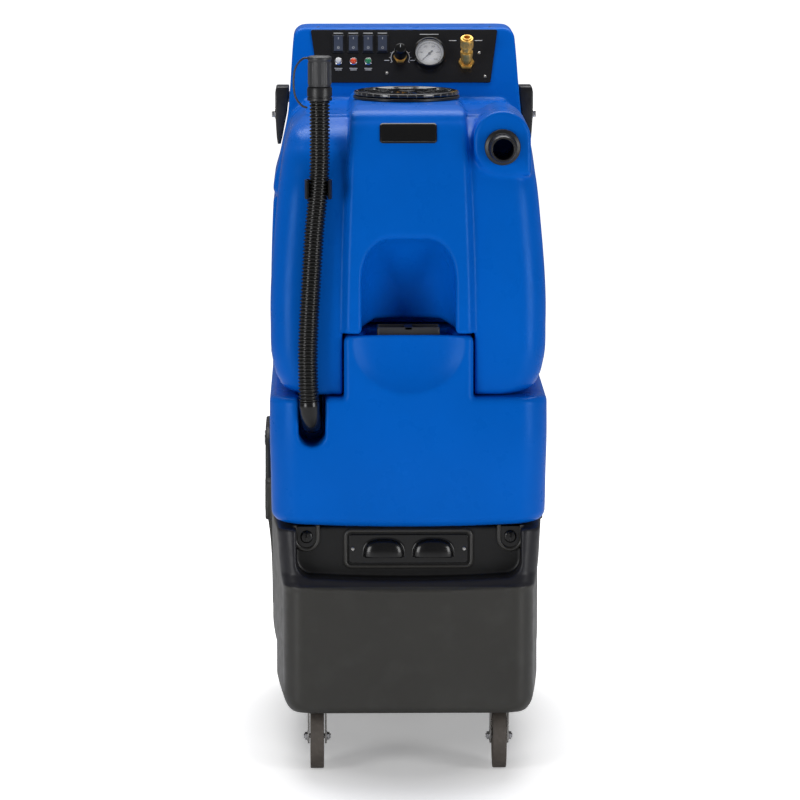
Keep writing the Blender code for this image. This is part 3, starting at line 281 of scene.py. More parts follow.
# name: slot, colour, roughness, mottle, patch, gloss spread, gloss scale, grains, and the rest by name
LOOKS = {
    "blue": ("blue_shell", (0, 0.124, 0.600), 0.30, 0.05, 6, 0.05, 26, ORANGE_PEEL,
             dict(Specular_IOR_Level=0.18, Specular_Tint=(0.30, 0.62, 1, 1))),
    # The charcoal base carries painted shade: darker and bluish on the front ledge as a painted reflection,
    # near black in the recess
    "charcoal": ("charcoal_shell", (0.036, 0.035, 0.031), 0.44, 0.07, 7, 0.06, 60, COARSE_PEEL,
                 dict(dust=((0.075, 0.075, 0.070), 0.22), regions=(LEDGE_PAINTED_SHADE, RECESS_PAINTED_SHADE), Specular_IOR_Level=0.40)),
    "rim": ("charcoal_shell", (0.034, 0.033, 0.030), 0.36, 0.07, 7, 0.06, 60, FINE_GRAIN, {}),
    "black": ("black_plastic", (0.012, 0.012, 0.013), 0.36, 0.10, 20, 0.06, 80, FINE_GRAIN, {}),
    "gloss_black": ("black_plastic", (0.004, 0.004, 0.004), 0.20, 0.05, 20, 0.03, 60,
                    ((300, 0.05, 0.0004),), {}),
    "cap_grey": ("black_plastic", (0.030, 0.031, 0.034), 0.44, 0.08, 30, 0.05, 90, FINE_GRAIN, {}),
    "ink": ("black_plastic", (0.015, 0.015, 0.015), 0.50, 0.05, 60, 0.04, 200, (), {}),
    "panel": ("panel_black", (0.010, 0.010, 0.011), 0.20, 0.05, 30, 0.03, 90, ((1500, 0.10, 0.0002),), {}),
    "slate": ("slate_plastic", (0.052, 0.064, 0.096), 0.33, 0.05, 60, 0.04, 200, FINE_GRAIN, {}),
    "hose": ("hose_black", (0.008, 0.008, 0.007), 0.20, 0.06, 30, 0.02, 20, (), {}),
    "foam": ("dark_grip", (0.016, 0.016, 0.016), 0.85, 0.15, 60, 0.05, 200, ((1800, 0.6, 0.0006),), {}),
    "powder": ("handle_paint", (0.014, 0.014, 0.015), 0.42, 0.06, 20, 0.05, 120, ((1300, 0.35, 0.0003),), {}),
    "zinc": ("zinc", (0.56, 0.55, 0.53), 0.28, 0.10, 45, 0.10, 160, ((600, 0.10, 0.0003),), dict(Metallic=1)),
    "sheet": ("zinc", (0.36, 0.36, 0.35), 0.50, 0.12, 30, 0.05, 90, (), dict(Metallic=0.5)),
    "steel": ("steel", (0.50, 0.50, 0.51), 0.24, 0.06, 40, 0.08, 220, ((500, 0.08, 0.0003),),
              dict(stretch=(0.2, 1, 1), Metallic=1)),
    "chrome": ("chrome_trim", (0.80, 0.80, 0.81), 0.07, 0.02, 40, 0.03, 200, (), dict(Metallic=1)),
    "brass": ("brass", (0.80, 0.46, 0.10), 0.34, 0.10, 120, 0.08, 300, ((900, 0.08, 0.0002),),
              dict(Metallic=0.72)),
    "cast": ("motor_body", (0.46, 0.46, 0.47), 0.45, 0.10, 50, 0.08, 140, ((500, 0.4, 0.0006),),
             dict(Metallic=1)),
    "tread": ("caster_tread", (0.088, 0.075, 0.064), 0.62, 0.12, 60, 0.08, 160, ((1200, 0.3, 0.0004),),
              dict(dust=((0.17, 0.15, 0.13), 0.30))),
    "tyre": ("tyre_rubber", (0.020, 0.020, 0.021), 0.66, 0.15, 40, 0.08, 120, ((1000, 0.3, 0.0004),),
             dict(dust=((0.09, 0.085, 0.08), 0.35))),
    "white": ("white_plastic", (0.78, 0.78, 0.76), 0.35, 0.03, 40, 0.04, 200, FINE_GRAIN, {}),
    "paper": ("white_plastic", (0.82, 0.81, 0.78), 0.50, 0.02, 60, 0.04, 200, (), {}),
    "print": ("white_plastic", (0.62, 0.63, 0.64), 0.45, 0.05, 300, 0.04, 200, (), {}),
    "smoked": ("smoked_clear", (0.010, 0.011, 0.013), 0.09, 0.10, 30, 0.03, 80, ((60, 0.05, 0.0012),),
               dict(Coat_Weight=0.6, Coat_Roughness=0.05)),
    "red": ("red_lens", (0.80, 0.07, 0.015), 0.14, 0.04, 200, 0.03, 300, (), dict(Coat_Weight=0.5)),
    "green": ("green_lens", (0.008, 0.22, 0.085), 0.14, 0.04, 200, 0.03, 300, (), dict(Coat_Weight=0.5)),
    "glass": ("gauge_glass", (0.97, 0.98, 0.98), 0.03, 0, 40, 0.01, 200, (), dict(Alpha=0.12))}
FINISHES = {}


def make_finishes():
    for name, (_, *numbers, extras) in LOOKS.items():
        FINISHES[name] = finish(name, *numbers, **extras)


# ---------------------------------------------------------------- mesh tools

def circle(count, offset=0.0):
    """Evenly spread angles, once round."""
    return [2 * math.pi * (step + offset) / count for step in range(count)]


def add_loft(builder, rings, cyclic=False):
    """Skin over rings that have the same number of points, with filled ends unless it is cyclic."""
    loops = [[builder.verts.new(point) for point in points] for points in rings]
    count = len(loops[0])
    for low, high in zip(loops, loops[1:] + (loops[:1] if cyclic else [])):
        for index in range(count):
            follow = (index + 1) % count
            builder.faces.new((low[index], low[follow], high[follow], high[index]))
    if not cyclic:
        builder.faces.new(loops[0][::-1])
        builder.faces.new(loops[-1])


def rounded(corners, steps=5, closed=True):
    """Outline through the corners (x, y, radius), each turned with an arc."""
    outline = []
    count = len(corners)
    for index, (x, y, radius) in enumerate(corners):
        ends = not closed and index in (0, count - 1)
        if radius <= 0 or ends:
            outline.append((x, y))
            continue
        here = Vector((x, y))
        before = (Vector(corners[index - 1][:2]) - here).normalized()
        after = (Vector(corners[(index + 1) % count][:2]) - here).normalized()
        half = before.angle(after) / 2
        centre = here + (before + after).normalized() * radius / math.sin(half)
        start = here + before * radius / math.tan(half) - centre
        end = here + after * radius / math.tan(half) - centre
        first = math.atan2(start.y, start.x)
        turn = math.atan2(end.y, end.x) - first
        turn = (turn + math.pi) % (2 * math.pi) - math.pi
        for step in range(steps + 1):
            angle = first + turn * step / steps
            outline.append((centre.x + radius * math.cos(angle), centre.y + radius * math.sin(angle)))
    return outline


def box_outline(low_x, high_x, low_y, high_y, radius=0.0, steps=5):
    spots = ((low_x, low_y), (high_x, low_y), (high_x, high_y), (low_x, high_y))
    return rounded([(x, y, radius) for x, y in spots], steps)


def add_prism(builder, outline, axis, low, high):
    """Outline pushed along one axis; it holds (y, z), (x, z) or (x, y) for X, Y or Z."""
    def place(point, depth):
        across, along = point
        return {"X": (depth, across, along), "Y": (across, depth, along), "Z": (across, along, depth)}[axis]
    add_loft(builder, [[place(point, depth) for point in outline] for depth in (low, high)])


def add_turned(builder, profile, place, direction, segments=48, closed=False):
    """Solid of revolution about `direction` through `place`, from (radius, height) points."""
    turn = UP.rotation_difference(Vector(direction)).to_matrix()
    base = Vector(place)
    loops = []
    for radius, height in profile:
        if radius < 1e-6:
            loops.append([builder.verts.new(base + turn @ Vector((0, 0, height)))])
            continue
        spots = [Vector((radius * math.cos(a), radius * math.sin(a), height)) for a in circle(segments)]
        loops.append([builder.verts.new(base + turn @ spot) for spot in spots])
    pairs = list(zip(loops, loops[1:]))
    if closed:
        pairs.append((loops[-1], loops[0]))
    for low, high in pairs:
        for index in range(segments):
            follow = (index + 1) % segments
            corners = [low[index % len(low)], low[follow % len(low)]]
            corners += [high[follow % len(high)], high[index % len(high)]]
            builder.faces.new(list(dict.fromkeys(corners)))


def add_rod(builder, radius, low, high, place, direction, segments=48, edge=0.0):
    corners = [(0, low, 0), (radius, low, edge), (radius, high, edge), (0, high, 0)]
    add_turned(builder, rounded(corners, 3, closed=False), place, direction, segments)


def add_pipe(builder, outer, inner, low, high, place, direction, segments=48, edge=0.0):
    corners = [(inner, low, edge), (outer, low, edge), (outer, high, edge), (inner, high, edge)]
    add_turned(builder, rounded(corners, 3), place, direction, segments, closed=True)


def smooth_route(points, count):
    """Evenly spread points on a smooth curve through the given ones."""
    spots = [Vector(point) for point in points]
    ends = [2 * spots[0] - spots[1]] + spots + [2 * spots[-1] - spots[-2]]
    fine = []
    for before, start, end, after in zip(ends, ends[1:], ends[2:], ends[3:]):
        for step in range(20):
            t = step / 20
            curve = 2 * start + (end - before) * t
            curve += (2 * before - 5 * start + 4 * end - after) * t * t
            curve += (3 * start - 3 * end + after - before) * t * t * t
            fine.append(curve / 2)
    fine.append(spots[-1])
    lengths = np.cumsum([0] + [(second - first).length for first, second in zip(fine, fine[1:])])
    wanted = np.linspace(0, lengths[-1], count)
    columns = [np.interp(wanted, lengths, [spot[axis] for spot in fine]) for axis in range(3)]
    return [Vector(spot) for spot in zip(*columns)]


def route_length(route):
    return sum((second - first).length for first, second in zip(route, route[1:]))


def add_tube(builder, route, radii, segments, across):
    """Tube with a radius for each point of a route that stays nearly square to `across`."""
    across = Vector(across)
    rings = []
    for index, spot in enumerate(route):
        along = (route[min(index + 1, len(route) - 1)] - route[max(index - 1, 0)]).normalized()
        first = (across - along * across.dot(along)).normalized()
        second = along.cross(first)
        turned = [first * math.cos(a) + second * math.sin(a) for a in circle(segments)]
        rings.append([spot + offset * radii[index] for offset in turned])
    add_loft(builder, rings)


def solid(name, builder, look, body, replaced=(), bevel=0, angle=35):
    """A finished piece that rides on a body, with soft edges and smooth shading."""
    bmesh.ops.recalc_face_normals(builder, faces=builder.faces)
    mesh = bpy.data.meshes.new(name)
    builder.to_mesh(mesh)
    builder.free()
    mesh.shade_smooth()
    mesh.set_sharp_from_angle(angle=math.radians(angle))
    made = place_piece(name, mesh, look, body, replaced)
    if bevel:
        change = made.modifiers.new("edge", "BEVEL")
        change.width = bevel * MM
        change.segments = 2
        change.limit_method = "ANGLE"
        change.angle_limit = math.radians(angle)
        change.harden_normals = True
    return made


def place_piece(name, mesh, look, body, replaced=()):
    """Scale a mesh to metres and put it on its body, in the finish of its look."""
    mesh.transform(Matrix.Scale(MM, 4))
    mesh.materials.append(FINISHES[look])
    made = bpy.data.objects.new(name, mesh)
    bpy.context.scene.collection.objects.link(made)
    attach(made, body)
    if replaced:
        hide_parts(*replaced)
    return made


def turned(name, profile, place, direction, look, body, replaced=(), segments=64, closed=False, angle=35):
    builder = bmesh.new()
    add_turned(builder, profile, place, direction, segments, closed)
    return solid(name, builder, look, body, replaced, angle=angle)


# ---------------------------------------------------------------- moulded shells
# A shell is the zero surface of a distance field: plan sections that change with height, joined
# and cut with rounded edges, the way a rotational mould is worked out. Where a face leans, the
# ratios in its term are the cosine and sine of the lean.

def along(z, stations, column):
    """Smooth curve through one column of the (z, ...) stations, level past both ends."""
    knots = np.array([row[0] for row in stations], float)
    values = np.array([row[column] for row in stations], float)
    slopes = np.gradient(values, knots)
    z = np.clip(z, knots[0], knots[-1])
    index = np.clip(np.searchsorted(knots, z, side="right") - 1, 0, len(knots) - 2)
    width = knots[index + 1] - knots[index]
    t = (z - knots[index]) / width
    level = (1 + 2 * t) * (1 - t) ** 2 * values[index] + t * t * (3 - 2 * t) * values[index + 1]
    return level + width * (t * (1 - t) ** 2 * slopes[index] + t * t * (t - 1) * slopes[index + 1])


def meet(a, b, radius):
    """Intersection whose outer edge is rounded."""
    outside = np.hypot(np.maximum(a + radius, 0), np.maximum(b + radius, 0))
    return np.minimum(np.maximum(a, b), -radius) + outside


def blend(a, b, radius):
    """Union with a fillet in the inner corner."""
    inside = np.hypot(np.maximum(radius - a, 0), np.maximum(radius - b, 0))
    return np.maximum(np.minimum(a, b), radius) - inside


def carve(a, b, radius):
    """a with b cut out of it, and the edge of the cut rounded."""
    return meet(a, -b, radius)


def rectangle(u, v, half_u, half_v, radius):
    """Distance to a rectangle with round corners in the plane of u and v."""
    across = np.abs(u) - (half_u - radius)
    along_v = np.abs(v) - (half_v - radius)
    inside = np.minimum(np.maximum(across, along_v), 0)
    return inside + np.hypot(np.maximum(across, 0), np.maximum(along_v, 0)) - radius


def plan(x, y, half, front, rear, radius, rear_radius):
    """Distance to a plan rectangle whose front and rear corners have their own radius."""
    middle = (front + rear) / 2
    return rectangle(x, y - middle, half, (rear - front) / 2, np.where(y < middle, radius, rear_radius))


def within(*fields):
    """Intersection with sharp edges."""
    return functools.reduce(np.maximum, fields)


def between(value, low, high):
    return within(low - value, value - high)


# How often points move towards the surface, and the least squared slope they divide by
SURFACE_STEPS = 3
LEAST_SLOPE = 0.05


def field_mesh(name, field, low, high, cell):
    """Surface nets over a distance field, with each point then moved onto the surface."""
    axes = [np.arange(a, b + cell, cell) for a, b in zip(low, high)]
    x, y, z = np.meshgrid(*axes, indexing="ij", sparse=True)
    value = np.array(np.broadcast_to(field(x, y, z), tuple(len(axis) for axis in axes)), np.float32)
    inside = value < 0
    corner = np.array(list(itertools.product((0, 1), repeat=3)))
    cells_shape = tuple(n - 1 for n in value.shape)
    filled = np.zeros(cells_shape, np.int8)
    for step in corner:
        filled += inside[tuple(slice(s, s + n) for s, n in zip(step, cells_shape))]
    mixed = (filled > 0) & (filled < 8)
    cells = np.argwhere(mixed)
    at = value[tuple((cells[:, None, :] + corner[None]).transpose(2, 0, 1))]
    total = np.zeros((len(cells), 3))
    hits = np.zeros(len(cells))
    for first, second in itertools.combinations(range(8), 2):
        if np.abs(corner[first] - corner[second]).sum() != 1:
            continue
        cross = (at[:, first] < 0) != (at[:, second] < 0)
        share = at[cross, first] / (at[cross, first] - at[cross, second])
        total[cross] += corner[first] + share[:, None] * (corner[second] - corner[first])
        hits[cross] += 1
    points = np.array(low) + (cells + total / hits[:, None]) * cell
    number = np.full(cells_shape, -1, np.int64)
    number[mixed] = np.arange(len(cells))
    quads = [net_quads(inside, number, axis) for axis in range(3)]
    quads = np.concatenate(quads)
    for _ in range(SURFACE_STEPS):
        points = onto_surface(points, field, cell)
    mesh = bpy.data.meshes.new(name)
    mesh.from_pydata(points.tolist(), [], quads.tolist())
    mesh.validate()
    mesh.shade_smooth()
    return mesh


def net_quads(inside, number, axis):
    """The four cells around each grid edge along `axis` where the surface is crossed."""
    trimmed = [slice(1, -1)] * 3
    trimmed[axis] = slice(0, -1)
    shifted = list(trimmed)
    shifted[axis] = slice(1, None)
    start, end = inside[tuple(trimmed)], inside[tuple(shifted)]
    offset = np.array([0 if n == axis else 1 for n in range(3)])
    second, third = (axis + 1) % 3, (axis + 2) % 3
    quads = []
    for flips, order in ((start & ~end, 1), (~start & end, -1)):
        spots = np.argwhere(flips) + offset
        around = []
        for a, b in ((0, 0), (-1, 0), (-1, -1), (0, -1))[::order]:
            cell = spots.copy()
            cell[:, second] += a
            cell[:, third] += b
            around.append(number[tuple(cell.T)])
        quads.append(np.stack(around, axis=1))
    return np.concatenate(quads)


def onto_surface(points, field, cell):
    """One Newton step towards the zero of the field, kept under half a cell."""
    reach = cell * 0.25
    x, y, z = points.T
    here = field(x, y, z)
    slope = np.stack([
        field(x + reach, y, z) - field(x - reach, y, z),
        field(x, y + reach, z) - field(x, y - reach, z),
        field(x, y, z + reach) - field(x, y, z - reach)], axis=1) / (2 * reach)
    size = np.maximum((slope ** 2).sum(axis=1), LEAST_SLOPE)
    step = -(here / size)[:, None] * slope
    length = np.maximum(np.linalg.norm(step, axis=1), 1e-9)
    return points + step * np.minimum(1, cell * 0.5 / length)[:, None]


def shell(name, field, low, high, cell, look, body, *replaced):
    margin = cell * 2.5
    mesh = field_mesh(name, field, [v - margin for v in low], [v + margin for v in high], cell)
    return place_piece(name, mesh, look, body, replaced)


# ---------------------------------------------------------------- tanks and base

# Stations up the recovery tank and its middle ridge: (z, half width, front); the tower's are
# (z, half width) and those of the niche under the ridge (z, back wall)
RECOVERY_STATIONS = (
    (591, 174, -343), (598, 187, -345.5), (614, 199, -347), (640, 207, -347.5),
    (700, 210.5, -346.5), (850, 203, -334), (920, 195.5, -321), (965, 187, -301),
    (990, 177, -272), (1006, 160, -230))
RIDGE_STATIONS = (
    (660, 99.5, -358.5), (800, 96.5, -353), (900, 93, -340), (970, 90, -322),
    (1005, 88.5, -305), (1020, 86.5, -286), (1027, 82, -262))
TOWER_STATIONS = (
    (858, 206.5), (866, 208.5), (920, 199), (980, 187), (1012, 184), (1034, 182.5),
    (1100, 178), (1120, 176))
NICHE_STATIONS = (
    (640, -256), (700, -261), (745, -271), (780, -285), (808, -300), (835, -313))

# Stations up the solution tank: (z, half width, front); and up the column behind it: (z, half width)
SOLUTION_STATIONS = (
    (387, 209.5, -357), (430, 210.5, -359.5), (475, 211, -363.5), (510, 212, -365),
    (600, 212, -363), (683, 212, -360))
COLUMN_STATIONS = ((620, 214.7), (740, 214), (820, 211.5), (856, 209.8))


def recovery_shape(x, y, z):
    """Body, boss, ridge and tower, less the saddle, notch, niche, filling well and two openings."""
    wide = plan(x, y, along(z, RECOVERY_STATIONS, 1), along(z, RECOVERY_STATIONS, 2), 58.5, 42, 12)
    body = meet(wide, between(z, 591, 1010), 6)
    slim = plan(x, y, along(z, RIDGE_STATIONS, 1), along(z, RIDGE_STATIONS, 2), 30, 11, 12)
    ridge = meet(slim, between(z, 660, 1027), 8)
    rear = 240 - 0.4 * np.maximum(0, z - 1090)
    tower = plan(x, y, along(z, TOWER_STATIONS, 1), -20, rear, 20, 30)
    panel_side = (y - PANEL_FOOT.y) * PANEL_OUT.y + (z - PANEL_FOOT.z) * PANEL_OUT.z
    tower = meet(meet(tower, between(z, 858, 1120.5), 16), panel_side, 4)
    round_boss = np.hypot(x - PORT.x, z - np.clip(z, PORT.z, PORT.z + 11)) - 43.5
    square_boss = rectangle(x - 163, z - 946.5, 24, 22.5, 4)
    boss = meet(np.minimum(round_boss, square_boss), between(y, PORT.y, -150), 6)
    tank = blend(blend(body, boss, 7), ridge, 7)
    tank = blend(tank, tower, 6)

    saddle = within(np.abs(x) - 101, z - 686.5)
    tank = carve(tank, saddle, 4)
    taper = (np.abs(x) - 74.5 + 1.9 * (z - 686.5)) * 0.466
    notch = within(taper, between(z, 676, 698.5), y + 220)
    tank = carve(tank, notch, 2)
    arch = rectangle(x, (z - 633) * 0.6, 71.5, 123.5, 45)
    niche = meet(arch, y - along(z, NICHE_STATIONS, 1), 58)
    tank = carve(tank, niche, 6)
    well = within(rectangle(x, y + 139.5, 143, 82.5, 20), between(z, 700, 985))
    hole = within(np.hypot(x, y - LID.y) - 70, 950 - z)
    tank = carve(tank, np.minimum(well, hole), 2)
    bore = within(np.hypot(x - PORT.x, z - PORT.z) - 20.2, y + 230)
    return within(tank, -bore)


def ellipsoid(x, y, z, centre, radii):
    """Close to the distance near the surface, which is all the mesher asks for."""
    parts = [(value - middle) / radius for value, middle, radius in zip((x, y, z), centre, radii)]
    size = np.sqrt(sum(part * part for part in parts)) + 1e-9
    slope = np.sqrt(sum((part / radius) ** 2 for part, radius in zip(parts, radii))) + 1e-9
    return size * (size - 1) / slope


def solution_shape(x, y, z):
    """Low tank and column, less the seats, the filling mouth, the scoop and the slot for the hose."""
    wide = plan(x, y, along(z, SOLUTION_STATIONS, 1), along(z, SOLUTION_STATIONS, 2), 285, 48, 20)
    foot = 387 + 6 * (x / 200) ** 2
    low = meet(meet(wide, foot - z, 16), z - 683, 6)
    seats = meet(meet(98.5 - np.abs(x), y - 60, 3), 589 - z, 3)
    low = carve(low, seats, 10)
    behind = plan(x, y, along(z, COLUMN_STATIONS, 1), 60, 284.5, 12, 19.5)
    column = meet(meet(behind, z - 856, 12), 600 - z, 2)
    tank = blend(low, column, 4)
    taper = np.abs(x) - (72 - (y + 336) * 0.162)
    mouth = within(taper * 0.987, between(y, -336, -262), 450 - z)
    tank = carve(tank, mouth, 4)
    tank = carve(tank, ellipsoid(x, y, z, (0, -378.5, 680), (100.5, 36, 94.2)), 2)
    beside = np.abs(x - DRAIN_X)
    slot = np.where(z > 534.5, beside, np.hypot(beside, z - 534.5)) - 20.5
    return carve(tank, meet(slot, y + 272, 2), 5)


def base_front(z):
    return np.interp(z, (290, 293.5, 298.5, 311, 385), (-380, -380.8, -374.5, -366, -358))


def base_plan(x, y, z, inset):
    """Plan of the base: a little narrower across the front, straight along the sides."""
    flare = np.interp(z, (290, 313, 385), (0, 7, 17))
    wide = np.abs(x) - 213.5
    slant = (np.abs(x) - 195.5 - flare) * 0.9889 - (y + 380) * 0.1483
    sides = meet(wide + inset, slant + inset, 50)
    lifted = z - 7 * (x / 200) ** 2
    return meet(meet(sides, base_front(lifted) - y + inset, 34), y - 330 + inset, 35 - inset)


def base_shape(x, y, z):
    """Open shell with ears for the hinge, wheel wells, an undercut and a recess across the front."""
    curve = np.interp(np.abs(x), (150, 185), (12, 28))
    body = meet(meet(base_plan(x, y, z, 0), 101 - z, curve), z - 385, 4)
    undercut = within(201.5 - np.abs(x), z - 172, -170 - y)
    body = carve(body, undercut, 4)
    rear_edge = (z - 330) * 0.2822 - (y - 110) * 0.9593
    front_edge = (y - 318) * 0.9973 + (z - 330) * 0.0733
    ear = within(meet(meet(rear_edge, front_edge, 2), z - 466, 38), 320 - z)
    ear = meet(ear, between(np.abs(x), 215.5, 226), 3)
    swell = 213 + 12 * np.clip((z - 200) / 140, 0, 1) ** 2
    root = meet(between(y, 112, 312), between(z, 180, 384), 10)
    root = meet(root, between(np.abs(x), 203.5, swell), 3)
    body = blend(body, blend(ear, root, 3), 6)

    well = within(np.hypot(y - AXLE.y, z - AXLE.z) - 139, 152.5 - np.abs(x))
    lift = np.clip(curve - (z - 101), 0, curve)
    follow = 7 + curve - np.sqrt(np.maximum(curve ** 2 - lift ** 2, 0))
    step = within(193 - np.abs(x), z - 180, -180 - y)
    low_space = within(base_plan(x, y, z, 0) + follow, z - 279, -step)
    top_space = within(rectangle(x, y + 38.5, 180, 283.5, 20), 262 - z)
    space = carve(np.minimum(low_space, top_space), well - 5, 2)
    body = carve(within(body, -space), well, 3)
    lifted = z - 6 * (x / 170) ** 2
    recess = meet(rectangle(x, lifted - 407, 172, 100, 22), y - RECESS_FACE, 3)
    return carve(body, recess, 4)


def build_shells():
    shell("recovery_shell", recovery_shape, (-210, -359, 591), (210, 240, 1121), 3.4, "blue", "tanks",
          "recovery_tank")
    shell("solution_shell", solution_shape, (-215.5, -366, 387), (215.5, 286, 856), 3.4, "blue", "tanks",
          "solution_tank")
    shell("base_shell", base_shape, (-226.5, -382, 101), (226.5, 331, 466), 3, "charcoal", "base",
          "base_housing")


def vent_shape(x, y, z):
    """Plate with two hollow hoods that open downwards."""
    face = RECESS_FACE - 0.4
    plate = meet(rectangle(x, z - 350.5, 91, 22.5, 5), between(y, face - 3, face), 1)
    beside = np.abs(np.abs(x) - 38)

    def bulge(thinner):
        parts = (beside / (31 - thinner), np.abs(z - 341) / (24.5 - thinner),
                 np.abs(y - face + 2) / (13.5 - thinner))
        return (sum(part ** 2.7 for part in parts) ** (1 / 2.7) - 1) * (13.5 - thinner)

    hood = meet(bulge(0), 338.5 - z, 0.8)
    space = within(bulge(1.8), y - face + 1.2, 337.5 - z)
    vent = blend(plate, hood, 1.5)
    return within(vent, -within(space, z - 400))


def build_tray():
    """Sheet floor of the base with turned-up edges and the two axle brackets."""
    tray = bmesh.new()
    right = [(176, -366, 20), (190.5, -190, 20), (190.5, 98, 10), (144, 98, 5), (144, 315, 8)]
    outline = right + [(-x, y, radius) for x, y, radius in reversed(right)]
    add_prism(tray, rounded(outline, 5), "Z", 138.5, 141.5)
    corners = ((-24, 140, 0), (-18, 108, 6), (18, 108, 6), (24, 140, 0))
    bracket = rounded([(AXLE.y + y, z, radius) for y, z, radius in corners], 5)
    for side, _ in SIDES:
        add_prism(tray, bracket, "X", side * 137 - 7, side * 137 + 7)
        add_prism(tray, box_outline(-330, 90, 140, 150, 1, 3), "X", side * 171 - 0.8, side * 171 + 0.8)
    solid("base_tray", tray, "sheet", "base", ["base_pan"], bevel=0.5)


def build_base_details():
    shell("vent_cover", vent_shape, (-91, -346, 328), (91, -328, 373), 0.9, "gloss_black", "base",
          "vent_plate")
    head = ((0, 0), (3.3, 0), (3.3, 1.2), (2.4, 2.2), (1.1, 2.4), (0.9, 1.4), (0, 1.4))
    places = [(x, RECESS_FACE - 3.4, 350.5) for x in (-85.5, 85.5)]
    build_screws("vent_screws", head, places, FRONT, "zinc", "base")
    # Flat gloss-black U plates on the recess face stand in for the shaded hollows round the catches: painted
    # shade
    pocket_shade_plates = bmesh.new()
    rims = bmesh.new()
    face = RECESS_FACE - 1.2
    for side, _ in SIDES:
        x = side * CATCH.x
        add_prism(pocket_shade_plates, u_shape(x, 16.2, 24, (384.5,)), "Y", RECESS_FACE - 0.35, RECESS_FACE + 2)
        route = [Vector((across, face, z)) for across, z in u_shape(x, 17.5, 16, (387, 376))]
        add_tube(rims, route, [3.4] * len(route), 12, FRONT)
    solid("catch_seats", pocket_shade_plates, "gloss_black", "base")
    rings = []
    for angle in circle(12):
        grow = 3 * math.cos(angle)
        outline = box_outline(-96.5 - grow, 96.5 + grow, 322.5 - grow, 378.5 + grow, 9 + grow, 6)
        rings.append([(x, face + 3.4 * math.sin(angle), z) for x, z in outline])
    add_loft(rims, rings, cyclic=True)
    solid("base_rims", rims, "rim", "base")


def build_screws(name, head, places, direction, look, body):
    screws = bmesh.new()
    for place in places:
        add_turned(screws, head, place, direction, 20)
    solid(name, screws, look, body)


def u_shape(x, radius, steps, heights):
    """Round-bottomed outline about a catch, with straight sides up through the heights."""
    left = [(x - radius, z) for z in heights]
    arc = [math.pi + math.pi * step / steps for step in range(steps + 1)]
    bottom = [(x + radius * math.cos(a), 366.5 + radius * math.sin(a)) for a in arc]
    return left + bottom + [(x + radius, z) for z in reversed(heights)]


# ---------------------------------------------------------------- drain hose

HOSE_POINTS = (
    (-151.6, -366.5, 585.6), (-152.6, -367.2, 605), (-153.2, -367, 628), (-153.4, -366.5, 660),
    (-152, -365, 700), (-149.8, -363, 739), (-146.6, -359.5, 792), (-143, -355, 845),
    (-137.5, -349.5, 900), (-135, -347, 940), (-134.5, -345.5, 990), (-134.5, -345, 1040.6))
HOSE_TOP = Vector((-134.5, -345, 0))
RIB_PITCH = 5.4
RIB_RADII = (13.1, 14.8, 15.5, 15.5, 14.8, 13.1)


def build_hose():
    """Ribbed hose clipped up the front of the tank, with its cuff and cap."""
    length = route_length(smooth_route(HOSE_POINTS, 200))
    count = round(length / RIB_PITCH) * len(RIB_RADII)
    tube = bmesh.new()
    radii = [RIB_RADII[index % len(RIB_RADII)] for index in range(count)]
    add_tube(tube, smooth_route(HOSE_POINTS, count), radii, 40, ACROSS)
    hose = solid("drain_hose_ribbed", tube, "hose", "tanks", ["drain_hose"], angle=60)

    profile = [(0, 1041), (18, 1041), (18.9, 1042), (18.9, 1045.5), (17.8, 1046.2), (17.8, 1047.5),
               (18.9, 1048.2), (18.9, 1058.5), (18, 1061.5), (12, 1061.8), (0, 1061.8)]
    cuff = turned("hose_cuff_ring", profile, HOSE_TOP, UP, "black", "tanks", ["hose_cuff"])
    cap = bmesh.new()
    profile = rounded([(0, 1062.2, 0), (17.2, 1062.2, 1), (17, 1101.2, 1), (18.2, 1102.8, 0.8),
                       (18.2, 1107, 1.2), (15, 1108.5, 1), (0, 1108.5, 0)], 3, closed=False)
    add_turned(cap, profile, HOSE_TOP, UP, 56)
    for angle in circle(14):
        spot = HOSE_TOP + Vector((math.cos(angle), math.sin(angle), 0)) * 16.9
        add_rod(cap, 1, 1066, 1098.5, spot, UP, 8)
    loop = ((-149, 1105), (-160, 1104), (-171, 1090), (-173.8, 1068), (-171, 1047), (-162, 1034),
            (-153, 1030))
    strap = smooth_route([(x, HOSE_TOP.y, z) for x, z in loop], 40)
    add_tube(cap, strap, [1.6] * len(strap), 10, (0, 1, 0))
    capped = solid("hose_end_cap", cap, "cap_grey", "tanks", ["hose_cap"])
    path = [tuple(spot * MM) for spot in smooth_route(HOSE_POINTS, 40)]


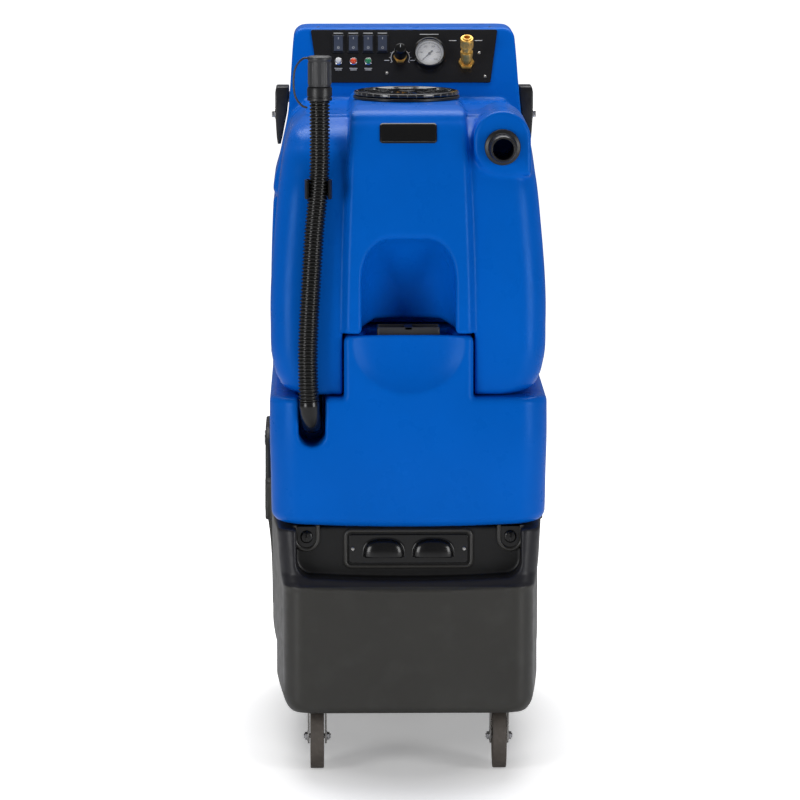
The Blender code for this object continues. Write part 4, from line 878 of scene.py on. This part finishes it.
def build_hose_mounts():
    boot = bmesh.new()
    profile = [(0, 532), (15, 532), (15, 589.5), (12, 589.5), (12, 618), (0, 618)]
    add_turned(boot, profile, (DRAIN_X, -296, 0), UP, 40)
    add_rod(boot, 12.5, 0, 42, (DRAIN_X, -296, 548), FRONT, 40)
    bend = smooth_route([(DRAIN_X, -334.5, 548), (DRAIN_X, -345, 548.4), (-148.5, -354, 553),
                         (-150.3, -363.5, 566), (-151.1, -366.1, 576), (-151.6, -366.5, 585.2)], 30)
    radii = [15.5] * len(bend)
    radii[-6:-2] = [15.8, 16.1, 16.1, 15.8]
    add_tube(boot, bend, radii, 40, ACROSS)
    solid("drain_boot", boot, "gloss_black", "tanks", ["drain_elbow"])

    clip = bmesh.new()
    half_gap = math.radians(52)
    sweep = 2 * math.pi - 2 * half_gap
    arc = [-math.pi / 2 + half_gap + sweep * step / 40 for step in range(41)]
    outline = []
    for radius, angles, lip in ((20.8, arc, -half_gap), (18.4, arc[::-1], half_gap)):
        outline += [(CLIP.x + radius * math.cos(a), CLIP.y + radius * math.sin(a)) for a in angles]
        turn = lip - math.pi / 2
        outline.append((CLIP.x + 22.2 * math.cos(turn), CLIP.y + 22.2 * math.sin(turn) - 2))
    add_prism(clip, outline, "Z", CLIP.z - 14.5, CLIP.z + 14.5)
    solid("hose_clip_ring", clip, "black", "tanks", ["hose_clip"], bevel=0.6)


# ---------------------------------------------------------------- lid, port, strainer and plate

def build_lid():
    collar = rounded([(65.5, 1027.4, 0.6), (83, 1027.4, 0.6), (83, 1031.8, 1.6), (65.5, 1033, 0.6)], 4)
    turned("lid_collar", collar, LID, UP, "black", "tanks", ["lid_ring"], 96, True)
    cover = bmesh.new()
    profile = rounded([(0, 1033.4, 0), (81.2, 1033.4, 0.8), (81.2, 1038.6, 1.4), (76, 1039.8, 1),
                       (70.5, 1039.8, 1), (68.5, 1037.6, 1.5), (30, 1039, 4), (0, 1039.2, 0)], 4,
                      closed=False)
    add_turned(cover, profile, LID, UP, 96)
    for angle in circle(12, 0.5):
        radial = Vector((math.cos(angle), math.sin(angle), 0))
        side = Vector((-radial.y, radial.x, 0))
        corners = [LID + radial * (50 + 17 * a) + side * b for a, b in ((-1, -1), (1, -1), (1, 1), (-1, 1))]
        add_loft(cover, [[corner + UP * z for corner in corners] for z in (1036, 1039.4)])
    for angle in circle(36):
        spot = LID + Vector((math.cos(angle), math.sin(angle), 0)) * 80.7
        add_rod(cover, 1.1, 1034, 1038.2, spot, UP, 8)
    add_turned(cover, [(0, 1038), (13, 1038), (13, 1039.2), (11.5, 1039.7), (0, 1039.7)], LID, UP, 48)
    solid("lid_cover", cover, "smoked", "lid", ["recovery_lid"], bevel=0.3)


def build_port():
    profile = rounded([(16, -30, 0), (19.6, -30, 0), (19.6, 0.4, 0), (27.5, 0.4, 0.8), (27.5, 6.6, 2.2),
                       (21.5, 9, 2), (20.4, 16, 1), (20.4, 19, 0.6), (19.6, 19.6, 0.4), (20.4, 27, 0.6),
                       (19.6, 27.8, 0.4), (20.3, 35.5, 0.8), (18.8, 39, 0.8), (16, 39, 0.8)], 3)
    turned("vacuum_barb", profile, PORT, FRONT, "black", "tanks", ["vacuum_port"], 80, True, angle=50)


def build_strainer():
    """Basket of thin bars that hangs in the filling mouth."""
    basket = bmesh.new()
    low_x, high_x, low_y, high_y = -48, 48, -333, -292
    bottom, top = 625, 693.5
    thick = 2.2
    middle = thick / 2
    for low, high in ((top - 17, top), (650, 652.5), (bottom, bottom + 4)):
        outer = box_outline(low_x, high_x, low_y, high_y, 4)
        inner = box_outline(low_x + thick, high_x - thick, low_y + thick, high_y - thick, 2)
        levels = ((outer, low), (outer, high), (inner, high), (inner, low))
        add_loft(basket, [[(x, y, z) for x, y in outline] for outline, z in levels], cyclic=True)
    bars = [(low_x + middle + (high_x - low_x - thick) * step / 18, y) for step in range(19)
            for y in (low_y + middle, high_y - middle)]
    bars += [(x, low_y + middle + (high_y - low_y - thick) * step / 8) for step in range(1, 8)
             for x in (low_x + middle, high_x - middle)]
    for x, y in bars:
        add_rod(basket, middle, bottom, top - 2, (x, y, 0), UP, 10)
    add_prism(basket, box_outline(low_x, high_x, low_y, high_y, 4), "Z", bottom, bottom + 1.5)
    add_prism(basket, box_outline(-6, 6, low_y, high_y, 1), "Z", top - 3.5, top - 0.2)
    solid("strainer_basket", basket, "cap_grey", "strainer", ["fill_strainer"])


def name_plate_shape(x, y, z):
    """Blank plate with a raised border, bent to the slope of the ridge."""
    out = along(z, RIDGE_STATIONS, 2) - y
    outline = rectangle(x, z - 988.75, 43.5, 14.75, 5)
    plate = meet(outline * 0.9, between(out, -4, 2) * 0.88, 0.6)
    border = meet(np.abs(outline + 1.8) - 0.9, between(out, 0, 2.6) * 0.88, 0.3)
    return np.minimum(plate, border)


def build_name_plate():
    shell("name_plate_blank", name_plate_shape, (-43.5, -327, 974), (43.5, -298, 1003.5), 0.6, "gloss_black",
          "tanks", "name_plate")


# ---------------------------------------------------------------- control panel

SWITCH_UP = 67.7
SWITCH_PLACES = (-105.5, -81.5, -57.8, -34.7)
SIGNAL_UP = 37.2
SIGNAL_PLACES = SWITCH_PLACES[:3]
REGULATOR = (-6.5, 44.5)
GAUGE = (40.3, 48)
COUPLER = (99.2, 34.5)
PRINT = 0.12


def on_panel(x, up, out=PANEL_SKIN):
    """Place from a position across, up and out from the panel's foot."""
    return PANEL_FOOT + ACROSS * x + PANEL_UP * up + PANEL_OUT * out


def add_panel_prism(builder, outline, low, high):
    """Outline (across, up) on the panel, pushed outwards from low to high."""
    add_loft(builder, [[on_panel(x, up, out) for x, up in outline] for out in (low, high)])


def add_mark(builder, x, up, width, height, out=PANEL_SKIN):
    outline = box_outline(x - width / 2, x + width / 2, up - height / 2, up + height / 2)
    add_panel_prism(builder, outline, out, out + PRINT)


def add_arc_mark(builder, x, up, radius, width, half_turn, out=PANEL_SKIN, steps=28):
    """Flat arc on the panel, the same angle to either side of straight up."""
    turns = [math.radians(half_turn * (2 * step / steps - 1)) for step in range(steps + 1)]
    outline = []
    for reach, order in ((radius + width / 2, 1), (radius - width / 2, -1)):
        outline += [(x + reach * math.sin(a), up + reach * math.cos(a)) for a in turns][::order]
    add_panel_prism(builder, outline, out, out + PRINT)


def add_spoke_mark(builder, x, up, inner, outer, width, turn, out=PANEL_SKIN):
    """Short radial tick on a dial; the turn is clockwise from straight up."""
    angle = math.radians(turn)
    radial = Vector((math.sin(angle), math.cos(angle)))
    side = Vector((radial.y, -radial.x)) * width / 2
    reaches = ((inner, -1), (inner, 1), (outer, 1), (outer, -1))
    spots = [tuple(Vector((x, up)) + radial * reach + side * sign) for reach, sign in reaches]
    add_panel_prism(builder, spots, out, out + PRINT)


def add_lettering(builder, text, x, up, size, out):
    """Flat numerals on the panel, centred on a place."""
    curve = bpy.data.curves.new("lettering", "FONT")
    curve.body = text
    curve.size = size
    curve.align_x = "CENTER"
    curve.align_y = "CENTER"
    curve.extrude = PRINT / 2
    holder = bpy.data.objects.new("lettering", curve)
    mesh = bpy.data.meshes.new_from_object(holder)
    place = Matrix((ACROSS, PANEL_UP, PANEL_OUT)).transposed().to_4x4()
    place.translation = on_panel(x, up, out)
    mesh.transform(place)
    builder.from_mesh(mesh)
    bpy.data.objects.remove(holder)
    bpy.data.curves.remove(curve)
    bpy.data.meshes.remove(mesh)


def build_panel_plate():
    plate = bmesh.new()
    corners = [(-137.5, 1, 3), (137.5, 1, 3), (150, 93.5, 3), (-150, 93.5, 3)]
    add_panel_prism(plate, rounded(corners, 5), 0.4, PANEL_SKIN)
    solid("panel_plate", plate, "panel", "tanks", ["control_panel"], bevel=0.6)
    head = ((0, 0), (2.4, 0), (2.2, 0.9), (1, 1.3), (0.8, 0.6), (0, 0.6))
    places = [on_panel(x, up) for x, up in ((129, 11), (120, 52), (-28, 17))]
    build_screws("panel_screws", head, places, PANEL_OUT, "zinc", "tanks")
    head = ((0, -4), (3, -4), (2.8, 1), (1.2, 1.8), (0.9, 0.8), (0, 0.8))
    build_screws("tower_screws", head, [(x, 122, 1119.5) for x in (-138, 138)], UP, "black", "tanks")


def build_panel_print():
    """Plain bars stand for the printed legends; the scales are arcs and ticks."""
    marks = bmesh.new()
    bars = [(x, 87.2, 15, 1.2) for x in SWITCH_PLACES]
    for x in SIGNAL_PLACES:
        bars += [(x, SIGNAL_UP - 11.5, 12.5, 1.1), (x, SIGNAL_UP - 14.2, 10, 1.1)]
    x, up = REGULATOR
    bars += [(x - 21.5, up - 5, 8, 1), (x + 20, up - 5, 8, 1), (GAUGE[0], 85, 30, 1.1), (78, 74, 12, 1.1),
             (119.5, 74, 12, 1.1)]
    for bar in bars:
        add_mark(marks, *bar)
    add_arc_mark(marks, x, up, 14.8, 0.9, 120)
    for turn in range(-120, 121, 30):
        add_spoke_mark(marks, x, up, 15.2, 17.8, 0.7, turn)
    solid("panel_print", marks, "print", "tanks")


def build_switches():
    frames = bmesh.new()
    levels = ((9.4, 15.2, 0.5), (9.4, 15.2, 2.6), (8.9, 14.7, 3.2), (8, 13.8, 3.2), (7.7, 13.5, 2.8),
              (7.7, 13.5, 0.5))
    for x in SWITCH_PLACES:
        rings = []
        for reach, rise, out in levels:
            outline = box_outline(x - reach, x + reach, SWITCH_UP - rise, SWITCH_UP + rise, 1, 3)
            rings.append([on_panel(across, up, PANEL_SKIN + out) for across, up in outline])
        add_loft(frames, rings, cyclic=True)
    solid("switch_frames", frames, "black", "tanks", ["switch_bezels"])
    for number, x in enumerate(SWITCH_PLACES, start=1):
        build_rocker(number, x)


def build_rocker(number, x):
    """Tipped rocker with a hollow face, and its bar and ring for on and off."""
    tilt = math.radians(8)
    half = 12.8

    def place(across, along_face, out):
        rise = along_face * math.cos(tilt) - out * math.sin(tilt)
        lift = along_face * math.sin(tilt) + out * math.cos(tilt)
        return on_panel(x + across, SWITCH_UP + rise, 7.2 + lift)

    def face(along_face, out=0.0):
        return 0.4 + 1.2 * (along_face / half) ** 2 + out

    rocker = bmesh.new()
    rows = [half * step / 10 for step in range(10, -11, -2)]
    profile = [(-half, -1.8), (half, -1.8)] + [(u, face(u)) for u in rows]
    add_loft(rocker, [[place(across, u, out) for u, out in profile] for across in (-7.2, 7.2)])
    name = "rocker_%d" % number
    solid("rocker_face_%d" % number, rocker, "slate", name, [name], bevel=0.5)
    marks = bmesh.new()
    bar = ((-0.4, 6.2), (0.4, 6.2), (0.4, 9.4), (-0.4, 9.4))
    add_loft(marks, [[place(a, u, face(u, out)) for a, u in bar] for out in (0.02, 0.16)])
    loops = []
    for reach, out in ((1.9, 0.02), (1.9, 0.18), (1.3, 0.18), (1.3, 0.02)):
        spots = [(reach * math.cos(a), reach * math.sin(a) - 7.8) for a in circle(24)]
        loops.append([place(a, u, face(u, out)) for a, u in spots])
    add_loft(marks, loops, cyclic=True)
    solid("rocker_marks_%d" % number, marks, "print", name)


def build_signals():
    collars = bmesh.new()
    profile = rounded([(4.8, 0.5, 0), (6.8, 0.5, 0), (6.6, 2.2, 0.6), (5.8, 3.6, 0.6), (4.8, 3.6, 0.4)], 3)
    for x in SIGNAL_PLACES:
        add_turned(collars, profile, on_panel(x, SIGNAL_UP), PANEL_OUT, 40, closed=True)
    solid("signal_collars", collars, "chrome", "tanks", ["reset_bezel"])
    button_x, red_x, green_x = SIGNAL_PLACES
    button = rounded([(0, -0.4, 0), (4.4, -0.4, 0), (4.4, 4.8, 1.2), (0, 5.6, 0)], 5, closed=False)
    turned("reset_cap", button, on_panel(button_x, SIGNAL_UP, PANEL_SKIN + 3.5), PANEL_OUT, "white",
           "reset_button", ["reset_button"], 40)
    lens = [(0, 0.4), (4.7, 0.4), (4.7, 3.6), (4.3, 4.6), (3.5, 5.3), (2.2, 5.8), (0, 6)]
    for name, x in (("red", red_x), ("green", green_x)):
        turned("lamp_lens_%s" % name, lens, on_panel(x, SIGNAL_UP), PANEL_OUT, name, "tanks",
               ["lamp_%s" % name], 40)


def rings_about(place, axis, levels, count, depth):
    """Rings about an axis at (height, radius, cut) levels; depth(step) is how deep a cut goes."""
    second = axis.cross(ACROSS)
    rings = []
    for height, radius, cut in levels:
        ring = []
        for step, angle in enumerate(circle(count)):
            reach = radius - cut * depth(step)
            ring.append(place + axis * height + (ACROSS * math.cos(angle) + second * math.sin(angle)) * reach)
        rings.append(ring)
    return rings


def build_regulator():
    place = on_panel(*REGULATOR)
    nut = bmesh.new()
    add_rod(nut, 10.5, 0.4, 6, place, PANEL_OUT, 6, 0.5)
    add_turned(nut, [(0, 5), (8, 5), (8, 8.5), (7, 9), (7, 11.5), (0, 11.5)], place, PANEL_OUT, 40)
    solid("regulator_hex", nut, "brass", "tanks", ["regulator_nut"])
    knob = bmesh.new()
    levels = ((11.9, 8.8, 0), (12.2, 9.8, 0), (15, 10.2, 0), (16.5, 10.1, 1), (34, 9, 1), (36, 8.6, 0),
              (37.9, 7.8, 0), (38.5, 6.6, 0))
    flutes = rings_about(place, PANEL_OUT, levels, 96, lambda step: 0.3 + 0.3 * math.cos(math.pi * step / 4))
    add_loft(knob, flutes)
    solid("regulator_grip", knob, "gloss_black", "regulator", ["regulator_knob"])
    pointer = bmesh.new()
    add_mark(pointer, REGULATOR[0], REGULATOR[1] + 3.5, 0.9, 5, PANEL_SKIN + 38.4)
    solid("regulator_pointer", pointer, "print", "regulator")


def build_gauge():
    place = on_panel(*GAUGE)
    profile = rounded([(0, 0.4, 0), (25, 0.4, 0.4), (25.5, 13, 1), (25.5, 15.5, 1), (24, 16.2, 0.6),
                       (22.8, 15, 0.4), (22.8, 6, 0), (0, 6, 0)], 3, closed=False)
    turned("gauge_housing", profile, place, PANEL_OUT, "gloss_black", "tanks", ["gauge_case"], 96)
    dial = [(0, 6.2), (22.5, 6.2), (22.5, 7), (22.1, 7.2), (0, 7.2)]
    turned("gauge_face", dial, place, PANEL_OUT, "paper", "tanks", ["gauge_dial"], 96)
    marks = bmesh.new()
    x, up = GAUGE
    level = PANEL_SKIN + 7.2
    add_arc_mark(marks, x, up, 19.2, 0.4, 135, level, steps=60)
    for step in range(51):
        inner, width = (18.2, 0.3) if step % 5 else (17.2, 0.5)
        add_spoke_mark(marks, x, up, inner, 19.2, width, -135 + 5.4 * step, level)
    for step in range(6):
        turn = math.radians(-135 + 54 * step)
        add_lettering(marks, str(step * 100), x + 13.8 * math.sin(turn), up + 13.8 * math.cos(turn), 4,
                      level + 0.1)
    solid("gauge_marks", marks, "ink", "tanks")
    needle = bmesh.new()
    turn = math.radians(135)
    along_needle = PANEL_UP * math.cos(turn) - ACROSS * math.sin(turn)
    across = PANEL_OUT.cross(along_needle)
    outline = ((18.5, 0), (4, -0.8), (-7, -1.4), (-7, 1.4), (4, 0.8))
    add_loft(needle, [[place + PANEL_OUT * out + along_needle * a + across * b for a, b in outline]
                      for out in (7.8, 8.4)])
    add_turned(needle, [(0, 7.6), (2.2, 7.6), (2.2, 9), (1.6, 9.6), (0, 9.6)], place, PANEL_OUT, 32)
    solid("gauge_pointer", needle, "ink", "needle", ["gauge_needle"])
    lens = [(0, 13.6), (22.4, 13.6), (22.4, 14.8), (21.8, 15), (0, 15.3)]
    turned("gauge_window", lens, place, PANEL_OUT, "glass", "tanks", ["gauge_lens"], 72)


def build_coupler():
    foot = on_panel(*COUPLER)
    lean = math.radians(32)
    axis = PANEL_OUT * math.cos(lean) + PANEL_UP * math.sin(lean)
    knee = foot + PANEL_OUT * 19
    made = bmesh.new()
    add_rod(made, 12.5, 0.4, 7, foot, PANEL_OUT, 6, 0.6)
    add_rod(made, 10.8, 7, 8.2, foot, PANEL_OUT, 48, 0.3)
    add_rod(made, 8.6, 3, 20, foot, PANEL_OUT, 48)
    profile = rounded([(0, -8, 0), (7, -7.5, 3), (9.2, 0, 2), (9.2, 6, 0.5), (10, 6.2, 0.3), (10, 13, 0.5),
                       (7, 15, 0.6), (7, 41, 0.6), (5.2, 41, 0.4), (5.2, 30, 0), (0, 30, 0)], 3, closed=False)
    add_turned(made, profile, knee, axis, 56)
    solid("coupler_elbow", made, "brass", "tanks", ["coupler_body"])
    sleeve = bmesh.new()
    levels = ((21.5, 7.5, 0), (21.5, 10, 0), (22, 10.4, 0), (24.5, 10.4, 0), (25, 10.3, 1), (33, 10.3, 1),
              (33.5, 10.4, 0), (37.2, 10.4, 0), (39, 9.6, 0), (39, 7.5, 0))
    knurl = rings_about(knee, axis, levels, 120, lambda step: 0.5 if step % 4 < 2 else 0)
    add_loft(sleeve, knurl, cyclic=True)
    solid("coupler_collar", sleeve, "brass", "coupler_sleeve", ["coupler_sleeve"])


# ---------------------------------------------------------------- handle

def build_handle():
    levels = ((934, 198.5, 203.5, 12), (946, 195.5, 205, 16), (960, 193, 205.8, 20), (985, 188, 207, 28),
              (1018, 184.8, 207, 28), (1025.5, 185, 205.5, 26), (1027, 185.5, 204, 24.5))
    for side, name in SIDES:
        block = bmesh.new()
        rings = []
        for z, inner, outer, reach in levels:
            outline = box_outline(inner, outer, 118 - reach, 118 + reach, 2.4, 4)
            rings.append([(side * x, y, z) for x, y in outline])
        add_loft(block, rings)
        solid("handle_socket_%s" % name, block, "black", "tanks", ["handle_bracket_%s" % name], angle=50)
        bolt = bmesh.new()
        add_rod(bolt, 9.5, 206, 207.8, (0, 118, 983), (side, 0, 0), 40, 0.4)
        add_rod(bolt, 7, 207, 213, (0, 118, 983), (side, 0, 0), 6, 0.6)
        solid("handle_bolt_%s" % name, bolt, "zinc", "tanks")
    arm_x, front, back, bend = 196.5, 146.6, 365, 35
    route = [(-arm_x, front, HANDLE_Z), (-arm_x, 240, HANDLE_Z)]
    for turn in (0, math.pi / 8, math.pi / 4, 3 * math.pi / 8, math.pi / 2):
        route.append((-arm_x + bend * (1 - math.cos(turn)), back - bend + bend * math.sin(turn), HANDLE_Z))
    route.append((0, back, HANDLE_Z))
    route += [(-x, y, z) for x, y, z in reversed(route[:-1])]
    line = smooth_route(route, 120)
    bar = bmesh.new()
    add_tube(bar, line, [9] * len(line), 32, UP)
    solid("handle_bar", bar, "powder", "tanks", ["push_handle"])
    profile = [(9.6, -130), (13.8, -130), (14.8, -128.5)]
    for start in range(-124, 117, 8):
        profile += [(15, start), (15, start + 5.5), (14.1, start + 6.2), (14.1, start + 7.3)]
    profile += [(15, 125), (14.8, 128.5), (13.8, 130), (9.6, 130)]
    turned("handle_foam", profile, (0, back, HANDLE_Z), ACROSS, "foam", "tanks", ["handle_grip"], 48, True)


# ---------------------------------------------------------------- catches and running gear

def build_catches():
    for side, name in SIDES:
        place = Vector((side * CATCH.x, RECESS_FACE, CATCH.z))
        knob = bmesh.new()
        profile = rounded([(0, -14, 0), (4.5, -14, 0.5), (4.5, 0.4, 0), (9.5, 0.4, 0.4), (9.5, 4.6, 1.2),
                           (7.4, 6, 1), (0, 6, 0)], 3, closed=False)
        add_turned(knob, profile, place, FRONT, 48)
        wing = rounded([(-7, -5, 0), (-7.4, -10.5, 1.5), (0, -11.8, 3), (7.4, -10.5, 1.5), (7, -5, 0)], 4)
        outline = [(place.y + depth, place.z + rise) for rise, depth in wing]
        add_prism(knob, outline, "X", place.x - 1.8, place.x + 1.8)
        solid("catch_knob_%s" % name, knob, "gloss_black", "catch_%s" % name, ["catch_%s" % name], bevel=0.4)


def mirrored(section):
    """Section of a wheel from one face to its middle, and on to the other face."""
    return section + [(radius, -depth, *rest) for radius, depth, *rest in reversed(section)]


def build_casters():
    race = rounded([(0, -4, 0), (20, -4, 1), (23.8, -1.5, 1), (24, 3, 1), (21.5, 5, 0.6), (21.5, 6.5, 0.6),
                    (23.6, 8.5, 1), (23.6, 12.5, 1), (21, 14.7, 0.6), (0, 14.7, 0)], 3, closed=False)
    face, dish = -CASTER_HALF, 2 - CASTER_HALF
    tread = rounded(mirrored([(4.4, face, 0.4), (12, face, 0.6), (14, dish, 1), (33, dish, 1),
                              (35, face, 0.6), (49, face, 0.6), (CASTER_RADIUS, face + 1.4, 0.8)]), 4)
    near, reach = CASTER_HALF + 1.5, CASTER_HALF + 4.2
    for side, name in SIDES:
        pivot = Vector((side * 141, -325, 120))
        axle = Vector((pivot.x, pivot.y + 28, CASTER_RADIUS))
        fork = bmesh.new()
        add_turned(fork, race, pivot, UP, 56)
        leg = rounded([(pivot.y - 19, pivot.z - 1, 2), (pivot.y + 23, pivot.z - 1, 2),
                       (axle.y + 12, axle.z + 10, 10), (axle.y + 11.5, axle.z - 11.5, 10.5),
                       (axle.y - 11.5, axle.z - 11.5, 10.5), (axle.y - 14, axle.z + 12, 10)], 5)
        nuts = bmesh.new()
        for way in (-1, 1):
            add_prism(fork, leg, "X", *sorted((pivot.x + way * near, pivot.x + way * reach)))
            add_rod(nuts, 8, reach - 0.3, reach + 0.8, axle, (way, 0, 0), 36, 0.2)
            add_rod(nuts, 6.2, reach + 0.5, reach + 4.5, axle, (way, 0, 0), 6, 0.6)
            add_rod(nuts, 3.6, reach + 4, reach + 6.2, axle, (way, 0, 0), 24, 0.6)
        add_rod(nuts, 3.9, -reach, reach, axle, ACROSS, 24)
        solid("caster_yoke_%s" % name, fork, "zinc", "caster_%s" % name, ["caster_fork_%s" % name], bevel=0.5)
        solid("caster_bolt_%s" % name, nuts, "steel", "caster_%s" % name)
        turned("caster_tread_%s" % name, tread, axle, ACROSS, "tread", "caster_roller_%s" % name,
               ["caster_wheel_%s" % name], 80, True)


def build_rear_wheels():
    half = (WHEEL_OUTER - WHEEL_INNER) / 2
    section = mirrored([(92.4, -20), (112, -20.5), (118, -20), (122.5, -17), (126.2, -12), (127, -8.5),
                        (127, -6.2), (124.5, -5.6), (124.5, -4.2), (127, -3.6)])
    for side, name in SIDES:
        centre = Vector((side * (WHEEL_INNER + WHEEL_OUTER) / 2, AXLE.y, AXLE.z))
        body = "wheel_%s" % name
        hub = bmesh.new()
        for inner, outer, reach in ((10.3, 24, half), (81.5, 92.2, half - 3.5), (22, 83, 4)):
            add_pipe(hub, outer, inner, -reach, reach, centre, ACROSS, 72, 1)
        for turn in circle(6):
            radial = Vector((0, math.cos(turn), math.sin(turn)))
            across = Vector((0, -math.sin(turn), math.cos(turn)))
            rings = []
            for reach, depth, width in ((21, 19, 7.5), (50, 14, 6), (84, 16.5, 7)):
                spots = [(-depth, -width), (depth, -width), (depth, width), (-depth, width)]
                rings.append([centre + radial * reach + ACROSS * a + across * b for a, b in spots])
            add_loft(hub, rings)
        solid("wheel_hub_%s" % name, hub, "cap_grey", body, ["rear_wheel_%s" % name], bevel=0.8)
        rings = []
        for step, angle in enumerate(circle(144)):
            radial = Vector((0, math.cos(angle), math.sin(angle)))
            groove = 2.2 if step % 4 == 0 else 0
            ring = []
            for radius, depth in section:
                notch = groove if radius > 120 and abs(depth) > 6 else 0
                ring.append(centre + radial * (radius - notch) + ACROSS * depth)
            rings.append(ring)
        tyre = bmesh.new()
        add_loft(tyre, rings, cyclic=True)
        solid("wheel_tyre_%s" % name, tyre, "tyre", body, ["rear_tyre_%s" % name])


# ---------------------------------------------------------------- everything together

def dress_frame():
    """Give every solid that came with the frame the first finish of its slot."""
    chosen = {}
    for name, (slot, *_) in LOOKS.items():
        chosen.setdefault(slot, FINISHES[name])
    for part in frame["record"]["subparts"]:
        made = frame["nodes"][part["node"]]
        material = chosen[part["material_slot"]]
        if not made.data.materials:
            made.data.materials.append(material)
        for slot in made.material_slots:
            slot.material = material


def build():
    make_camera()
    make_finishes()
    build_hose()
    build_hose_mounts()
    make_light()
    make_floor()
    build_shells()
    build_tray()
    build_base_details()
    build_catches()
    build_casters()
    build_rear_wheels()
    build_lid()
    build_port()
    build_strainer()
    build_name_plate()
    build_panel_plate()
    build_panel_print()
    build_switches()
    build_signals()
    build_regulator()
    build_gauge()
    build_coupler()
    build_handle()
    dress_frame()


build()
